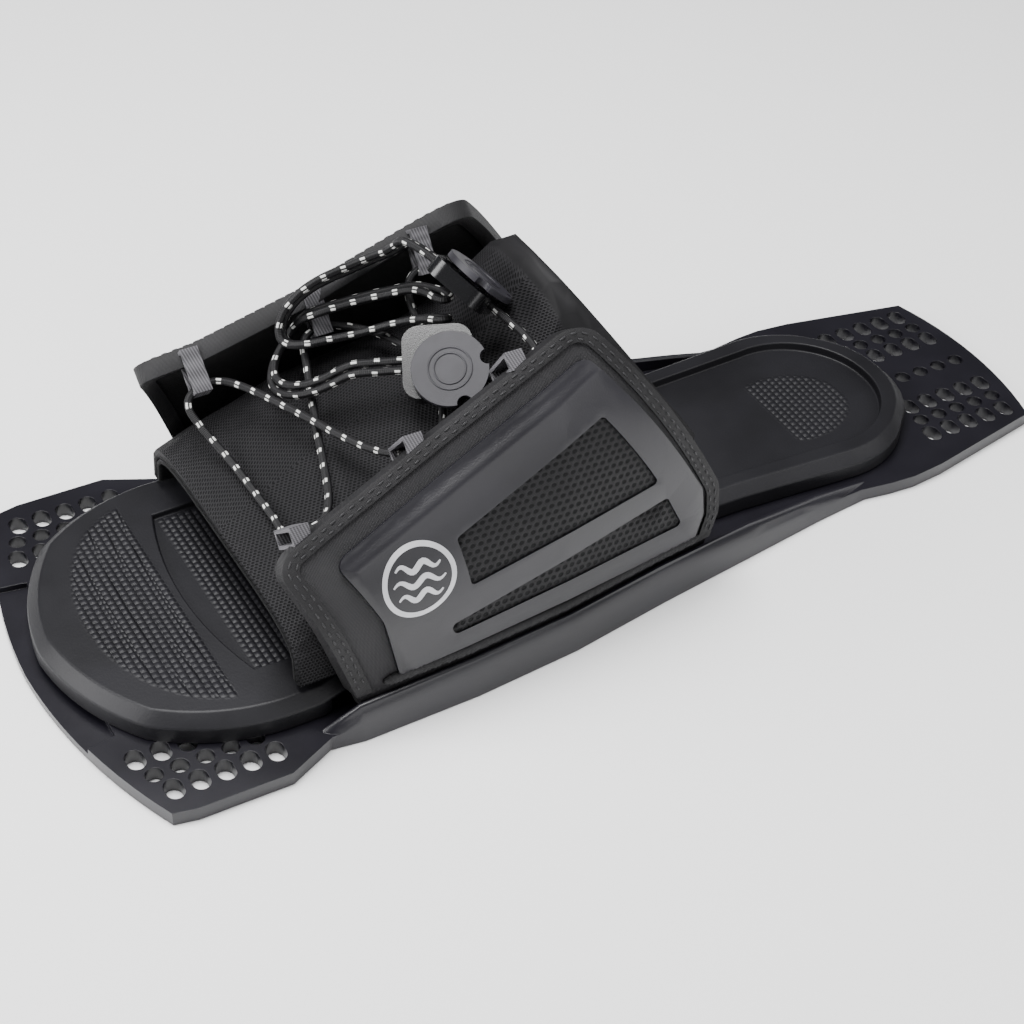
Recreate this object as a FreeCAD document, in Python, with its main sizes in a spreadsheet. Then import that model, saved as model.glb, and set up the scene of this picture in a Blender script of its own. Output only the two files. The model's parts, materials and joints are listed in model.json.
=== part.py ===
import FreeCAD, Part
import math
import os

import Sketcher
from FreeCAD import Placement, Rotation, Vector

# Rear foot binding on a bolt-on plate. Millimetres. +X runs from toe to heel, +Y to the far side,
# +Z up. The origin is under the middle of the plate, on its underside.

doc = FreeCAD.newDocument("rear_toe_plate")

# ---------------------------------------------------------------- driving dimensions
DIMENSIONS = [
    # plate
    ("overall_length", 347.0), ("plate_thickness", 4.6),
    ("toe_half_width", 72.0), ("toe_corner_x", 157.3), ("toe_corner_y", 70.6),
    ("toe_end_radius", 178.0), ("toe_pad_heel_x", 122.0),
    ("toe_notch_x", 106.5), ("toe_notch_y", 64.6), ("waist_toe_x", 95.0),
    ("waist_side_inset", 1.5),
    ("heel_neck_x", 93.0), ("heel_neck_y", 43.6), ("heel_flare_x", 113.0), ("heel_flare_y", 45.8),
    ("heel_corner_x", 168.2), ("heel_corner_y", 36.0), ("heel_end_radius", 125.0),
    ("lip_drop", 2.0), ("lip_half_width", 39.0), ("lip_start_x", 160.0),
    # side rails
    ("rail_width", 4.6), ("rail_lean", 2.2),
    # bolt holes
    ("hole_pitch", 7.62), ("hole_diameter", 5.3), ("slot_length", 7.7), ("holes_in_row", 5),
    ("first_hole_x", 135.14), ("toe_arc_radius", 163.4), ("heel_arc_radius", 154.3),
    ("toe_round_row", 54.95), ("toe_slot_row_inner", 47.39), ("toe_slot_row_outer", 62.33),
    ("heel_round_row", 22.24), ("heel_slot_row_inner", 14.73), ("heel_slot_row_outer", 29.92),
    # footbed
    ("footbed_height", 9.0), ("footbed_toe_x", 169.0), ("footbed_toe_side_x", 105.0),
    ("footbed_toe_side_y", 56.4), ("footbed_heel_x", 133.5), ("footbed_heel_side_x", 93.0),
    ("footbed_heel_side_y", 37.2), ("footbed_waist_x", 42.0), ("footbed_waist_y", 34.7),
    ("footbed_edge", 3.5), ("heel_cup_inset", 9.0), ("heel_cup_depth", 3.0),
    ("instep_recess_depth", 2.0),
    # clamping of the overlay
    ("flange_outset", 1.5), ("flange_inset", 20.0), ("flange_thickness", 1.9),
    ("strip_centre", 14.0), ("strip_width", 8.0), ("strip_thickness", 2.0), ("layer_gap", 0.1),
    ("screw_diameter", 4.0), ("screw_head", 7.6), ("screw_head_height", 2.2),
    ("screw_clearance", 0.4), ("footbed_groove", 22.0),
    # panels
    ("leather_thickness", 1.6), ("lining_thickness", 2.6), ("moulding_thickness", 1.3),
    ("mesh_thickness", 0.8), ("binding_width", 5.0), ("binding_thickness", 0.7),
    ("panel_bottom", 6.9), ("side_length", 200.0),
    # gusset
    ("gusset_thickness", 2.4), ("gusset_lining_thickness", 1.4), ("gusset_side_gap", 3.0),
    ("gusset_bottom", 16.0),
    # webbing eyes
    ("webbing_width", 5.6), ("webbing_thickness", 1.1), ("webbing_length", 14.0),
    ("webbing_gap", 3.4), ("cord_clearance", 0.3),
    # cord
    ("cord_diameter", 2.4), ("cord_spacing", 2.9), ("lock_bore", 2.7),
    # lace locks
    ("lock_front", 12.5), ("lock_back", 8.0), ("lock_width", 22.0), ("lock_height", 5.2), ("lock_corner", 5.0),
    ("lock_floor", 0.7), ("button_diameter", 22.6), ("button_height", 2.0), ("button_gap", 1.2),
    ("plunger_diameter", 8.6), ("plunger_clearance", 0.2), ("cord_level", 3.2),
    ("fork_slot", 5.9), ("fork_top", 5.7), ("fork_bottom", 2.0),
    ("spring_outer", 13.0), ("spring_wire", 0.4), ("spring_seat", 4.7), ("spring_bore", 9.4),
]
sheet = doc.addObject("Spreadsheet::Sheet", "dims")
for row, (alias, value) in enumerate(DIMENSIONS, 1):
    sheet.set(f"A{row}", alias)
    sheet.set(f"B{row}", str(value))
    sheet.setAlias(f"B{row}", alias)
doc.recompute()


def dim(alias):
    """A driving dimension, read back from the sheet."""
    return float(sheet.get(alias))


nodes = []


def keep(obj, label):
    """Marks a document object as a finished sub-part and names it."""
    obj.Label = label
    nodes.append(obj)
    return obj


# ---------------------------------------------------------------- sketch helpers
def origin_plane(body, role):
    return next(f for f in body.Origin.OriginFeatures if f.Role == role)


def new_sketch(body, name, plane="XY_Plane", height=None):
    sketch = body.newObject("Sketcher::SketchObject", name)
    sketch.AttachmentSupport = [(origin_plane(body, plane), "")]
    sketch.MapMode = "FlatFace"
    if height:
        sketch.setExpression("AttachmentOffset.Base.z", height)
    return sketch


def value_of(expression):
    """The number that an expression on the sheet gives."""
    return float(doc.dims.evalExpression(expression.replace("dims.", "")))


def constrain(sketch, joins, dimensions):
    """Adds all of a sketch's constraints in one go. Joins are (kind, *where); dimensions are
    (kind, where, expression) and stay bound to the sheet."""
    made = [Sketcher.Constraint(*join) for join in joins]
    made += [Sketcher.Constraint(kind, *where, value_of(e)) for kind, where, e in dimensions]
    indices = sketch.addConstraint(made)
    for index, (_, _, expression) in zip(indices[len(joins):], dimensions):
        sketch.setExpression(f"Constraints[{index}]", expression)


def place_point(where, x, y):
    """The two dimensions that put a point of a sketch at (x, y)."""
    return [("DistanceX", (-1, 1, *where), x), ("DistanceY", (-1, 1, *where), y)]


def trace(sketch, corners):
    """Draws a closed outline. Each corner is (x, y, radius of the edge that leaves it, or None);
    x and y are expressions on the sheet, and an arc bulges to the right of the way round."""
    points = [Vector(value_of(x), value_of(y), 0) for x, y, _ in corners]
    ends, joins, dimensions = [], [], []
    for i, (x, y, radius) in enumerate(corners):
        a, b = points[i], points[(i + 1) % len(points)]
        if radius is None:
            index = sketch.addGeometry(Part.LineSegment(a, b))
            start = 1
        else:
            r = value_of(radius)
            chord = b - a
            outward = Vector(chord.y, -chord.x, 0).normalize()
            sag = r - math.sqrt(r * r - (chord.Length / 2) ** 2)
            index = sketch.addGeometry(Part.Arc(a, (a + b) / 2 + outward * sag, b))
            start = 1 if sketch.getPoint(index, 1).distanceToPoint(a) < 1e-6 else 2
            dimensions.append(("Radius", (index,), radius))
        ends.append((index, start))
        dimensions += place_point((index, start), x, y)
    for i, (index, start) in enumerate(ends):
        joins.append(("Coincident", index, 3 - start, *ends[(i + 1) % len(ends)]))
    constrain(sketch, joins, dimensions)


def pad(body, sketch, length, name="pad"):
    feature = body.newObject("PartDesign::Pad", name)
    feature.Profile = sketch
    feature.setExpression("Length", length)
    return feature


def pocket(body, sketch, name, length=None, upward=False):
    """A pocket down from its sketch, or up from it; with no length it goes through all."""
    feature = body.newObject("PartDesign::Pocket", name)
    feature.Profile = sketch
    feature.Reversed = upward
    if length is None:
        feature.Type = "ThroughAll"
    else:
        feature.setExpression("Length", length)
    return feature


def draw_round_hole(sketch, x, y):
    centre = Vector(value_of(x), value_of(y), 0)
    index = sketch.addGeometry(Part.Circle(centre, Vector(0, 0, 1), dim("hole_diameter") / 2))
    constrain(sketch, [], [("Diameter", (index,), "dims.hole_diameter"),
                           *place_point((index, 3), x, y)])


def draw_slot(sketch, x, y):
    """A slot across the plate: two half circles joined by two lines."""
    cx, cy, r = value_of(x), value_of(y), dim("hole_diameter") / 2
    half = dim("slot_length") / 2 - r
    up = Vector(0, 0, 1)
    far = sketch.addGeometry(
        Part.ArcOfCircle(Part.Circle(Vector(cx, cy + half, 0), up, r), 0, math.pi))
    near = sketch.addGeometry(
        Part.ArcOfCircle(Part.Circle(Vector(cx, cy - half, 0), up, r), math.pi, 2 * math.pi))
    left = sketch.addGeometry(
        Part.LineSegment(Vector(cx - r, cy + half, 0), Vector(cx - r, cy - half, 0)))
    right = sketch.addGeometry(
        Part.LineSegment(Vector(cx + r, cy - half, 0), Vector(cx + r, cy + half, 0)))
    pairs = ((far, 2, left, 1), (left, 2, near, 1), (near, 2, right, 1), (right, 2, far, 1))
    rise = "(dims.slot_length-dims.hole_diameter)/2"
    constrain(sketch, [("Tangent", *pair) for pair in pairs], [
        ("Radius", (far,), "dims.hole_diameter/2"),
        *place_point((far, 3), x, f"{y}+{rise}"), *place_point((near, 3), x, f"{y}-{rise}")])


def drill_rows(body, end, shape, draw, rows):
    """Cuts the first hole of each row and repeats it along X. The columns bow towards the plate's
    end, so a row further out starts nearer the middle."""
    sketch = new_sketch(body, f"{end}_{shape}", height="dims.plate_thickness+10")
    sign = "-" if end == "toe" else ""
    arc = f"dims.{end}_arc_radius"
    for row in rows:
        x = f"{sign}(dims.first_hole_x+sqrt({arc}^2-({row})^2)-{arc})"
        draw(sketch, x, row)
    cut = pocket(body, sketch, f"{end}_{shape}_pocket")
    doc.recompute()
    pattern = body.newObject("PartDesign::LinearPattern", f"{end}_{shape}_rows")
    pattern.Originals = [cut]
    pattern.Direction = (origin_plane(body, "X_Axis"), [""])
    pattern.Reversed = end == "toe"
    pattern.setExpression("Length", "(dims.holes_in_row-1)*dims.hole_pitch")
    pattern.setExpression("Occurrences", "dims.holes_in_row")
    body.Tip = pattern


# ---------------------------------------------------------------- shape of the waist
# Stations along X: half width at the underside, and height of the side rail.
RAIL_STATIONS = [
    (-108.0, 64.9, 4.8), (-97.0, 66.4, 11.6), (-60.0, 65.4, 12.6), (-25.0, 62.1, 12.6),
    (10.0, 56.0, 12.6), (45.0, 50.7, 11.6), (75.0, 46.1, 8.4), (96.0, 43.7, 4.8),
]
# Side panels: X, half width of the upright wall, height where it starts to curve in, and the
# radius of that curve.
PANEL_STATIONS = [
    (-120.0, 61.8, 31.0, 42.0), (-97.0, 61.4, 32.0, 44.7), (-62.0, 60.3, 36.0, 56.9),
    (-27.0, 57.0, 44.0, 73.3), (8.0, 51.0, 45.0, 110.0), (36.0, 47.0, 45.0, 110.0),
]


def wall_y(x):
    """Half width of the panels' upright wall at X, straight between stations."""
    for (x0, y0, _, _), (x1, y1, _, _) in zip(PANEL_STATIONS, PANEL_STATIONS[1:]):
        if x <= x1:
            return y0 + (y1 - y0) * (x - x0) / (x1 - x0)
    return PANEL_STATIONS[-1][1]


# ---------------------------------------------------------------- base plate
def make_base_plate():
    body = doc.addObject("PartDesign::Body", "base_plate")
    outline = new_sketch(body, "plate_outline")
    end = "dims.overall_length/2"
    waist = [(f"{x}", f"{y}-dims.waist_side_inset", None) for x, y, _ in RAIL_STATIONS[2:-1]]
    half = [
        (f"-{end}", "0", "dims.toe_end_radius"),
        ("-dims.toe_corner_x", "dims.toe_corner_y", None),
        ("-dims.toe_corner_x+7", "dims.toe_half_width", None),
        ("-dims.toe_pad_heel_x", "dims.toe_half_width", None),
        ("-dims.toe_notch_x", "dims.toe_notch_y", None),
        ("-dims.waist_toe_x", "dims.toe_notch_y", None),
        *waist,
        ("dims.heel_neck_x", "dims.heel_neck_y", None),
        ("dims.heel_flare_x-9", "dims.heel_flare_y-0.6", None),
        ("dims.heel_flare_x", "dims.heel_flare_y", None),
        ("dims.heel_flare_x+12", "dims.heel_flare_y-1.2", None),
        ("dims.heel_corner_x", "dims.heel_corner_y", "dims.heel_end_radius"),
    ]
    corners = [(x, f"-({y})" if y != "0" else y, r) for x, y, r in half]
    corners.append((end, "0", "dims.heel_end_radius"))
    far = half[1:]
    for i in range(len(far) - 1, -1, -1):
        x, y, _ = far[i]
        leaving = "dims.toe_end_radius" if i == 0 else None
        corners.append((x, y, leaving))
    trace(outline, corners)
    pad(body, outline, "dims.plate_thickness", "plate_pad")

    lip = new_sketch(body, "lip_outline", height="dims.plate_thickness")
    trace(lip, [
        (f"-{end}-5", "-dims.lip_half_width", None), ("-dims.lip_start_x", "-dims.lip_half_width+3", None),
        ("-dims.lip_start_x", "dims.lip_half_width-3", None), (f"-{end}-5", "dims.lip_half_width", None),
    ])
    pocket(body, lip, "lip_pocket", "dims.lip_drop")

    for side in (-1, 1):
        sections = []
        for x, y, height in RAIL_STATIONS:
            section = new_sketch(body, "rail_section", "YZ_Plane", f"{x}")
            inner = f"{side}*({y}-dims.rail_width)"
            profile = [
                (f"{side}*{y}", "0"), (f"{side}*({y}-0.7)", f"0.6*{height}"),
                (f"{side}*({y}-dims.rail_lean)", f"{height}-0.7"),
                (f"{side}*({y}-dims.rail_lean-0.9)", f"{height}"),
                (f"{side}*({y}-dims.rail_width+0.6)", f"{height}"),
                (inner, f"{height}-0.7"), (inner, "0"),
            ]
            trace(section, [(a, b, None) for a, b in profile])
            sections.append(section)
        rail = body.newObject("PartDesign::AdditiveLoft", "rail")
        rail.Profile = sections[0]
        rail.Sections = sections[1:]
        rail.Ruled = True

    doc.recompute()
    for end, round_rows in (("toe", ["-dims.toe_round_row", "dims.toe_round_row"]),
                            ("heel", ["-dims.heel_round_row", "0", "dims.heel_round_row"])):
        slot_rows = [f"{sign}dims.{end}_slot_row_{row}"
                     for sign in ("-", "") for row in ("inner", "outer")]
        drill_rows(body, end, "round_holes", draw_round_hole, round_rows)
        drill_rows(body, end, "slots", draw_slot, slot_rows)
    return keep(body, "base_plate")


# Screws along each side that clamp the overlay down.
SCREW_X = (-84.0, -50.0, -16.0, 14.0)


def draw_band(sketch, x_start, x_end, outer, inner, side):
    """The same strip as sketch corners; the insets are expressions on the sheet."""
    xs = [x_start, *[s[0] for s in PANEL_STATIONS if x_start < s[0] < x_end], x_end]
    corners = [(f"{x}", f"{side}*({wall_y(x):.3f}-{outer})", None) for x in xs]
    corners += [(f"{x}", f"{side}*({wall_y(x):.3f}-{inner})", None) for x in reversed(xs)]
    trace(sketch, corners)


def screw_places(side):
    return [(f"{x}", f"{side}*({wall_y(x):.3f}-dims.strip_centre)") for x in SCREW_X]


def draw_screw_holes(sketch, side, diameter):
    for x, y in screw_places(side):
        centre = Vector(value_of(x), value_of(y), 0)
        index = sketch.addGeometry(Part.Circle(centre, Vector(0, 0, 1), value_of(diameter) / 2))
        constrain(sketch, [], [("Diameter", (index,), diameter), *place_point((index, 3), x, y)])


def drill_screw_holes(body):
    """Counterbored holes for the clamp screws, from the underside."""
    for side in (-1, 1):
        shanks = new_sketch(body, "screw_holes", height="dims.plate_thickness+10")
        draw_screw_holes(shanks, side, "dims.screw_diameter+dims.screw_clearance")
        pocket(body, shanks, "screw_hole_pocket")
        heads = new_sketch(body, "screw_seats")
        draw_screw_holes(heads, side, "dims.screw_head+dims.screw_clearance")
        pocket(body, heads, "screw_seat_pocket", "dims.screw_head_height+dims.layer_gap", True)


base_plate = make_base_plate()
drill_screw_holes(base_plate)


# ---------------------------------------------------------------- footbed
def footbed_corners(inset):
    """Outline of the footbed, drawn in by an inset: a wide toe pad, a waist and a heel cup."""
    half = [
        (f"-dims.footbed_toe_x+{inset}", "0", "74"),
        (f"-153+0.8*{inset}", f"42-0.7*{inset}", "62"),
        (f"-dims.footbed_toe_side_x-12+0.3*{inset}", f"dims.footbed_toe_side_y-{inset}", None),
        ("-dims.footbed_toe_side_x", f"dims.footbed_toe_side_y-{inset}", None),
        ("-97", f"54-{inset}", None), ("-60", f"52.5-{inset}", None), ("8", f"43.5-{inset}", None),
        ("dims.footbed_waist_x-8", f"dims.footbed_waist_y-{inset}", None),
        ("dims.footbed_waist_x+10", f"dims.footbed_waist_y-{inset}", None),
        ("dims.footbed_heel_side_x", f"dims.footbed_heel_side_y-{inset}", "34"),
        (f"122-0.5*{inset}", f"25.5-0.8*{inset}", "30"),
    ]
    near = [(x, f"-({y})", r) for x, y, r in half]
    near.append((f"dims.footbed_heel_x-{inset}", "0", "30"))
    far = []
    for i in range(len(half) - 1, 0, -1):
        far.append((half[i][0], half[i][1], half[i - 1][2]))
    return near + far


def make_footbed():
    body = doc.addObject("PartDesign::Body", "footbed")
    outline = new_sketch(body, "footbed_outline", height="dims.plate_thickness+dims.layer_gap")
    trace(outline, footbed_corners("0"))
    pad(body, outline, "dims.footbed_height-dims.footbed_edge")
    low = new_sketch(body, "edge_low",
                     height="dims.plate_thickness+dims.layer_gap+dims.footbed_height-dims.footbed_edge")
    trace(low, footbed_corners("0"))
    high = new_sketch(body, "edge_high",
                      height="dims.plate_thickness+dims.layer_gap+dims.footbed_height")
    trace(high, footbed_corners("dims.footbed_edge"))
    edge = body.newObject("PartDesign::AdditiveLoft", "rounded_edge")
    edge.Profile = low
    edge.Sections = [high]
    edge.Ruled = True
    top = "dims.plate_thickness+dims.layer_gap+dims.footbed_height"
    cup = new_sketch(body, "heel_cup", height=top)
    inset = "dims.heel_cup_inset"
    trace(cup, [
        ("38", f"-dims.footbed_waist_y+{inset}", None),
        ("dims.footbed_heel_side_x", f"-dims.footbed_heel_side_y+{inset}", "28"),
        (f"dims.footbed_heel_x-{inset}", "0", "28"),
        ("dims.footbed_heel_side_x", f"dims.footbed_heel_side_y-{inset}", None),
        ("38", f"dims.footbed_waist_y-{inset}", None),
    ])
    pocket(body, cup, "heel_cup_pocket", "dims.heel_cup_depth")
    instep = new_sketch(body, "instep", height=top)
    trace(instep, [("-118", "-38", None), ("-60", "-40", None), ("-60", "40", None),
                   ("-118", "38", "120")])
    pocket(body, instep, "instep_pocket", "dims.instep_recess_depth")
    for side in (-1, 1):
        groove = new_sketch(body, "flange_groove")
        draw_band(groove, -102.0, 33.0, "0", "dims.footbed_groove", side)
        pocket(body, groove, "flange_groove_pocket",
               "dims.plate_thickness+dims.flange_thickness+dims.strip_thickness+0.6", True)
    return keep(body, "footbed")


make_footbed()


# ---------------------------------------------------------------- clamping of the overlay
def make_clamping(side, name):
    flange = doc.addObject("PartDesign::Body", f"{name}_flange_body")
    sketch = new_sketch(flange, "flange_outline", height="dims.plate_thickness+dims.layer_gap")
    draw_band(sketch, -94.0, 27.0, "dims.flange_outset", "dims.flange_inset", side)
    draw_screw_holes(sketch, side, "dims.screw_diameter+dims.screw_clearance")
    pad(flange, sketch, "dims.flange_thickness")
    keep(flange, f"{name}_flange")

    strip = doc.addObject("PartDesign::Body", f"{name}_strip_body")
    level = "dims.plate_thickness+dims.flange_thickness+2*dims.layer_gap"
    sketch = new_sketch(strip, "strip_outline", height=level)
    draw_band(sketch, -92.0, 22.0, "(dims.strip_centre-dims.strip_width/2)",
              "(dims.strip_centre+dims.strip_width/2)", side)
    draw_screw_holes(sketch, side, "dims.screw_diameter+0.04")
    pad(strip, sketch, "dims.strip_thickness")
    keep(strip, f"{name}_clamp_strip")

    screws = []
    for x, y in screw_places(side):
        head = doc.addObject("Part::Cylinder", "screw_head")
        head.setExpression("Radius", "dims.screw_head/2")
        head.setExpression("Height", "dims.screw_head_height")
        shank = doc.addObject("Part::Cylinder", "screw_shank")
        shank.setExpression("Radius", "dims.screw_diameter/2")
        shank.setExpression("Height", f"{level}+dims.strip_thickness")
        screw = doc.addObject("Part::MultiFuse", "screw")
        screw.Shapes = [head, shank]
        screw.setExpression("Placement.Base.x", x)
        screw.setExpression("Placement.Base.y", y)
        screws.append(screw)
    group = doc.addObject("Part::Compound", f"{name}_screws")
    group.Links = screws
    keep(group, f"{name}_clamp_screws")


for side, name in ((-1, "near"), (1, "far")):
    make_clamping(side, name)


# ---------------------------------------------------------------- side panels
def tangent_corner(before, corner, after, radius):
    """Start, middle and end of the arc that rounds a corner."""
    a, b = (before - corner).normalize(), (after - corner).normalize()
    half = a.getAngle(b) / 2
    reach = radius / math.tan(half)
    centre = corner + (a + b).normalize() * (radius / math.sin(half))
    return corner + a * reach, centre + (corner - centre).normalize() * radius, corner + b * reach


def rounded_wire(corners):
    """A closed wire through (point, corner radius) pairs; a radius of 0 leaves a sharp corner."""
    count = len(corners)
    rounds = []
    for i, (point, radius) in enumerate(corners):
        if radius:
            rounds.append(tangent_corner(corners[i - 1][0], point,
                                         corners[(i + 1) % count][0], radius))
        else:
            rounds.append((point, None, point))
    edges = []
    for i, (start, middle, end) in enumerate(rounds):
        if middle is not None:
            edges.append(Part.Arc(start, middle, end).toShape())
        edges.append(Part.LineSegment(end, rounds[(i + 1) % count][0]).toShape())
    return Part.Wire(edges)


def outer_face(x, z):
    """Half width of the panels' outer leather face at X and Z."""
    stations = PANEL_STATIONS
    i = 0
    while i < len(stations) - 2 and x > stations[i + 1][0]:
        i += 1
    part = (x - stations[i][0]) / (stations[i + 1][0] - stations[i][0])
    _, width, top, radius = [a + part * (b - a) for a, b in zip(stations[i], stations[i + 1])]
    if z <= top:
        return width
    return width - radius + math.sqrt(radius ** 2 - (z - top) ** 2)


# The edges of the panels are cut along a direction tilted up from the side, close to square
# with the curved leather.
CUT_TILT = math.radians(36)


def side_prism(outline, side, grow=0.0):
    """An outline in side view, (X, Z, corner radius) on the leather, cut through to one side."""
    slope = math.tan(CUT_TILT)
    wire = rounded_wire([(Vector(x, 0, z - outer_face(x, z) * slope), r) for x, z, r in outline])
    if grow:
        wire = wire.makeOffset2D(grow)
    reach = dim("side_length")
    return Part.Face(wire).extrude(Vector(0, side * reach, reach * slope))


def panel_section(station, inner, outer, side, bottom):
    """The panels' cross-section at a station between two offsets from the outer leather face:
    an upright wall, then a curve in over the foot."""
    x, half_width, wall_top, radius = station

    def point(offset, angle):
        r = radius + offset
        return Vector(x, side * (half_width - radius + r * math.cos(angle)),
                      wall_top + r * math.sin(angle))

    turn = math.radians(68)
    edges = [Part.LineSegment(Vector(x, side * (half_width + outer), bottom), point(outer, 0)),
             Part.Arc(point(outer, 0), point(outer, turn / 2), point(outer, turn)),
             Part.LineSegment(point(outer, turn), point(inner, turn)),
             Part.Arc(point(inner, turn), point(inner, turn / 2), point(inner, 0)),
             Part.LineSegment(point(inner, 0), Vector(x, side * (half_width + inner), bottom)),
             Part.LineSegment(Vector(x, side * (half_width + inner), bottom),
                              Vector(x, side * (half_width + outer), bottom))]
    return Part.Wire([e.toShape() for e in edges])


def panel_layer(inner, outer, side):
    sections = [panel_section(s, inner, outer, side, dim("panel_bottom")) for s in PANEL_STATIONS]
    return Part.makeLoft(sections, True, True)


# Outlines in side view: X, Z, corner radius.
PANEL_OUTLINE = [
    (-94.0, 5.0, 0), (-115.5, 60.2, 8.0), (-14.5, 99.4, 9.0),
    (30.5, 33.3, 14.0), (31.5, 22.0, 8.0), (26.5, 5.0, 0),
]
MOULDING_OUTLINE = [
    (-84.0, 15.5, 2.0), (-89.0, 38.0, 12.0), (-100.0, 57.5, 5.0), (-16.0, 91.5, 4.0),
    (24.0, 34.5, 8.0), (25.5, 24.0, 5.0), (23.0, 15.5, 2.0),
]
LARGE_WINDOW = [(-64.4, 55.6, 1.5), (-13.9, 75.3, 1.5), (5.7, 45.7, 1.5), (-61.1, 39.5, 1.5)]
SMALL_WINDOW = [(-68.0, 27.3, 1.8), (9.8, 37.8, 1.5), (16.9, 24.1, 1.5), (-66.0, 23.4, 1.8)]
BINDING_FOOT = 13.5


def add_shape(shape, label):
    """A sub-part with a freely curved shape."""
    solids = shape.Solids
    feature = doc.addObject("Part::Feature", label)
    feature.Shape = solids[0] if len(solids) == 1 else Part.makeCompound(solids)
    return keep(feature, label)


def make_panel(side, name):
    leather, gap = dim("leather_thickness"), dim("layer_gap")
    lining = dim("lining_thickness")
    prism = side_prism(PANEL_OUTLINE, side)
    add_shape(panel_layer(-leather, 0, side).common(prism), f"{name}_panel_leather")
    inner_face = -leather - gap - lining
    add_shape(panel_layer(inner_face, -leather - gap, side).common(prism), f"{name}_panel_lining")

    windows = [side_prism(w, side) for w in (LARGE_WINDOW, SMALL_WINDOW)]
    frame = panel_layer(gap, gap + dim("moulding_thickness"), side)
    frame = frame.common(side_prism(MOULDING_OUTLINE, side))
    for window in windows:
        frame = frame.cut(window)
    add_shape(frame, f"{name}_moulding")
    mesh = panel_layer(gap, gap + dim("mesh_thickness"), side)
    for outline, size in ((LARGE_WINDOW, "large"), (SMALL_WINDOW, "small")):
        patch = mesh.common(side_prism(outline, side, -0.2))
        add_shape(patch, f"{name}_{size}_mesh_window")

    cover = dim("binding_thickness")
    ring = side_prism(PANEL_OUTLINE, side, cover + gap)
    ring = ring.cut(side_prism(PANEL_OUTLINE, side, cover + gap - dim("binding_width")))
    channel = panel_layer(inner_face - gap - cover, gap + cover, side).common(ring)
    channel = channel.cut(panel_layer(inner_face - gap, gap, side)
                          .common(side_prism(PANEL_OUTLINE, side, gap)))
    above = Part.makeBox(400, 400, 200, Vector(-200, -200, BINDING_FOOT))
    add_shape(channel.common(above), f"{name}_edge_binding")


for side, name in ((-1, "near"), (1, "far")):
    make_panel(side, name)


# ---------------------------------------------------------------- gusset over the instep
# Stations along X: height of the crest, half width, how square the arch is, and its lean.
GUSSET_STATIONS = [
    (-111.0, 33.5, 53.2, 4.2, 0.0), (-100.0, 41.0, 53.0, 4.0, 0.0), (-76.0, 55.0, 51.5, 3.7, 0.0),
    (-41.0, 66.0, 49.0, 3.3, 0.0), (-26.0, 76.0, 46.0, 3.0, 1.0), (-18.0, 85.0, 42.0, 2.8, 3.0),
    (-8.0, 96.0, 36.0, 2.7, 5.0), (3.0, 99.5, 34.0, 2.5, 4.0), (12.0, 100.0, 32.0, 2.3, 2.0),
    (33.0, 98.0, 32.0, 2.2, 0.0),
]
# The heel edge of the gusset slopes from the collar down to the footbed: X and Z of two points.
GUSSET_HEEL_EDGE = ((-5.5, 96.0), (33.0, 40.0))
ARCH_STEPS = 12


def arch(station, depth):
    """A rounded arch from side to side, drawn in by a depth."""
    x, crest, half_width, power, lean = station
    bottom = dim("gusset_bottom")
    points = []
    for i in range(ARCH_STEPS + 1):
        angle = math.pi * i / ARCH_STEPS
        c, sn = math.cos(angle), math.sin(angle)
        across = lean + math.copysign(abs(c) ** (2 / power), c) * (half_width - depth)
        points.append(Vector(x, across, bottom + (crest - depth - bottom) * abs(sn) ** (2 / power)))
    return points


def arch_shell(depth, thickness):
    """A layer of the gusset, cut off along its heel edge."""
    sections = []
    for station in GUSSET_STATIONS:
        outer, inner = arch(station, depth), arch(station, depth + thickness)
        sections.append(Part.makePolygon([*outer, *reversed(inner), outer[0]]))
    (x0, z0), (x1, z1) = GUSSET_HEEL_EDGE
    along = Vector(x1 - x0, 0, z1 - z0).normalize()
    top, foot = Vector(x0, -100, z0) - along * 60, Vector(x0, -100, z0) + along * 160
    back = Vector(-along.z, 0, along.x) * 120
    cutter = Part.Face(Part.makePolygon([top, foot, foot + back, top + back, top]))
    return Part.makeLoft(sections, True, True).cut(cutter.extrude(Vector(0, 200, 0)))


def make_gusset():
    thickness, gap = dim("gusset_thickness"), dim("layer_gap")
    add_shape(arch_shell(0, thickness), "gusset_mesh")
    add_shape(arch_shell(thickness + 3 * gap, dim("gusset_lining_thickness")), "gusset_lining")


make_gusset()


# ---------------------------------------------------------------- lace locks
# Each lock: place of the housing's underside, the way the pull cord leaves it, and its normal.
LOCKS = {
    "lower": (Vector(-41.2, -8.3, 75.2), Vector(-0.85, 0.5, -0.14), Vector(-0.38, -0.47, 0.797)),
    "upper": (Vector(-30.9, 1.1, 90.4), Vector(-0.43, 0.8, 0.42), Vector(0.69, 0.0, 0.71)),
}
BUTTON_SHIFT = {"lower": (-1.5, 3.5), "upper": (0.0, 0.0)}


def lock_frame(name):
    """Origin and axes of a lock: along its cord, across it, and out of its button."""
    origin, along, normal = LOCKS[name]
    normal = Vector(normal).normalize()
    along = (along - normal * along.dot(normal)).normalize()
    return origin, along, normal.cross(along), normal


def lock_placement(name):
    origin, along, across, normal = lock_frame(name)
    return Placement(origin, Rotation(along, across, normal, "ZXY"))


def lock_point(name, along, across, up):
    origin, a, b, c = lock_frame(name)
    return origin + a * along + b * across + c * up


def bore(body, name, x_from, length, y):
    """A round hole for the cord, along the lock."""
    sketch = new_sketch(body, name, "YZ_Plane", x_from)
    draw_circle(sketch, "dims.lock_bore", y, "dims.cord_level")
    return pocket(body, sketch, f"{name}_pocket", length)


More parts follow.
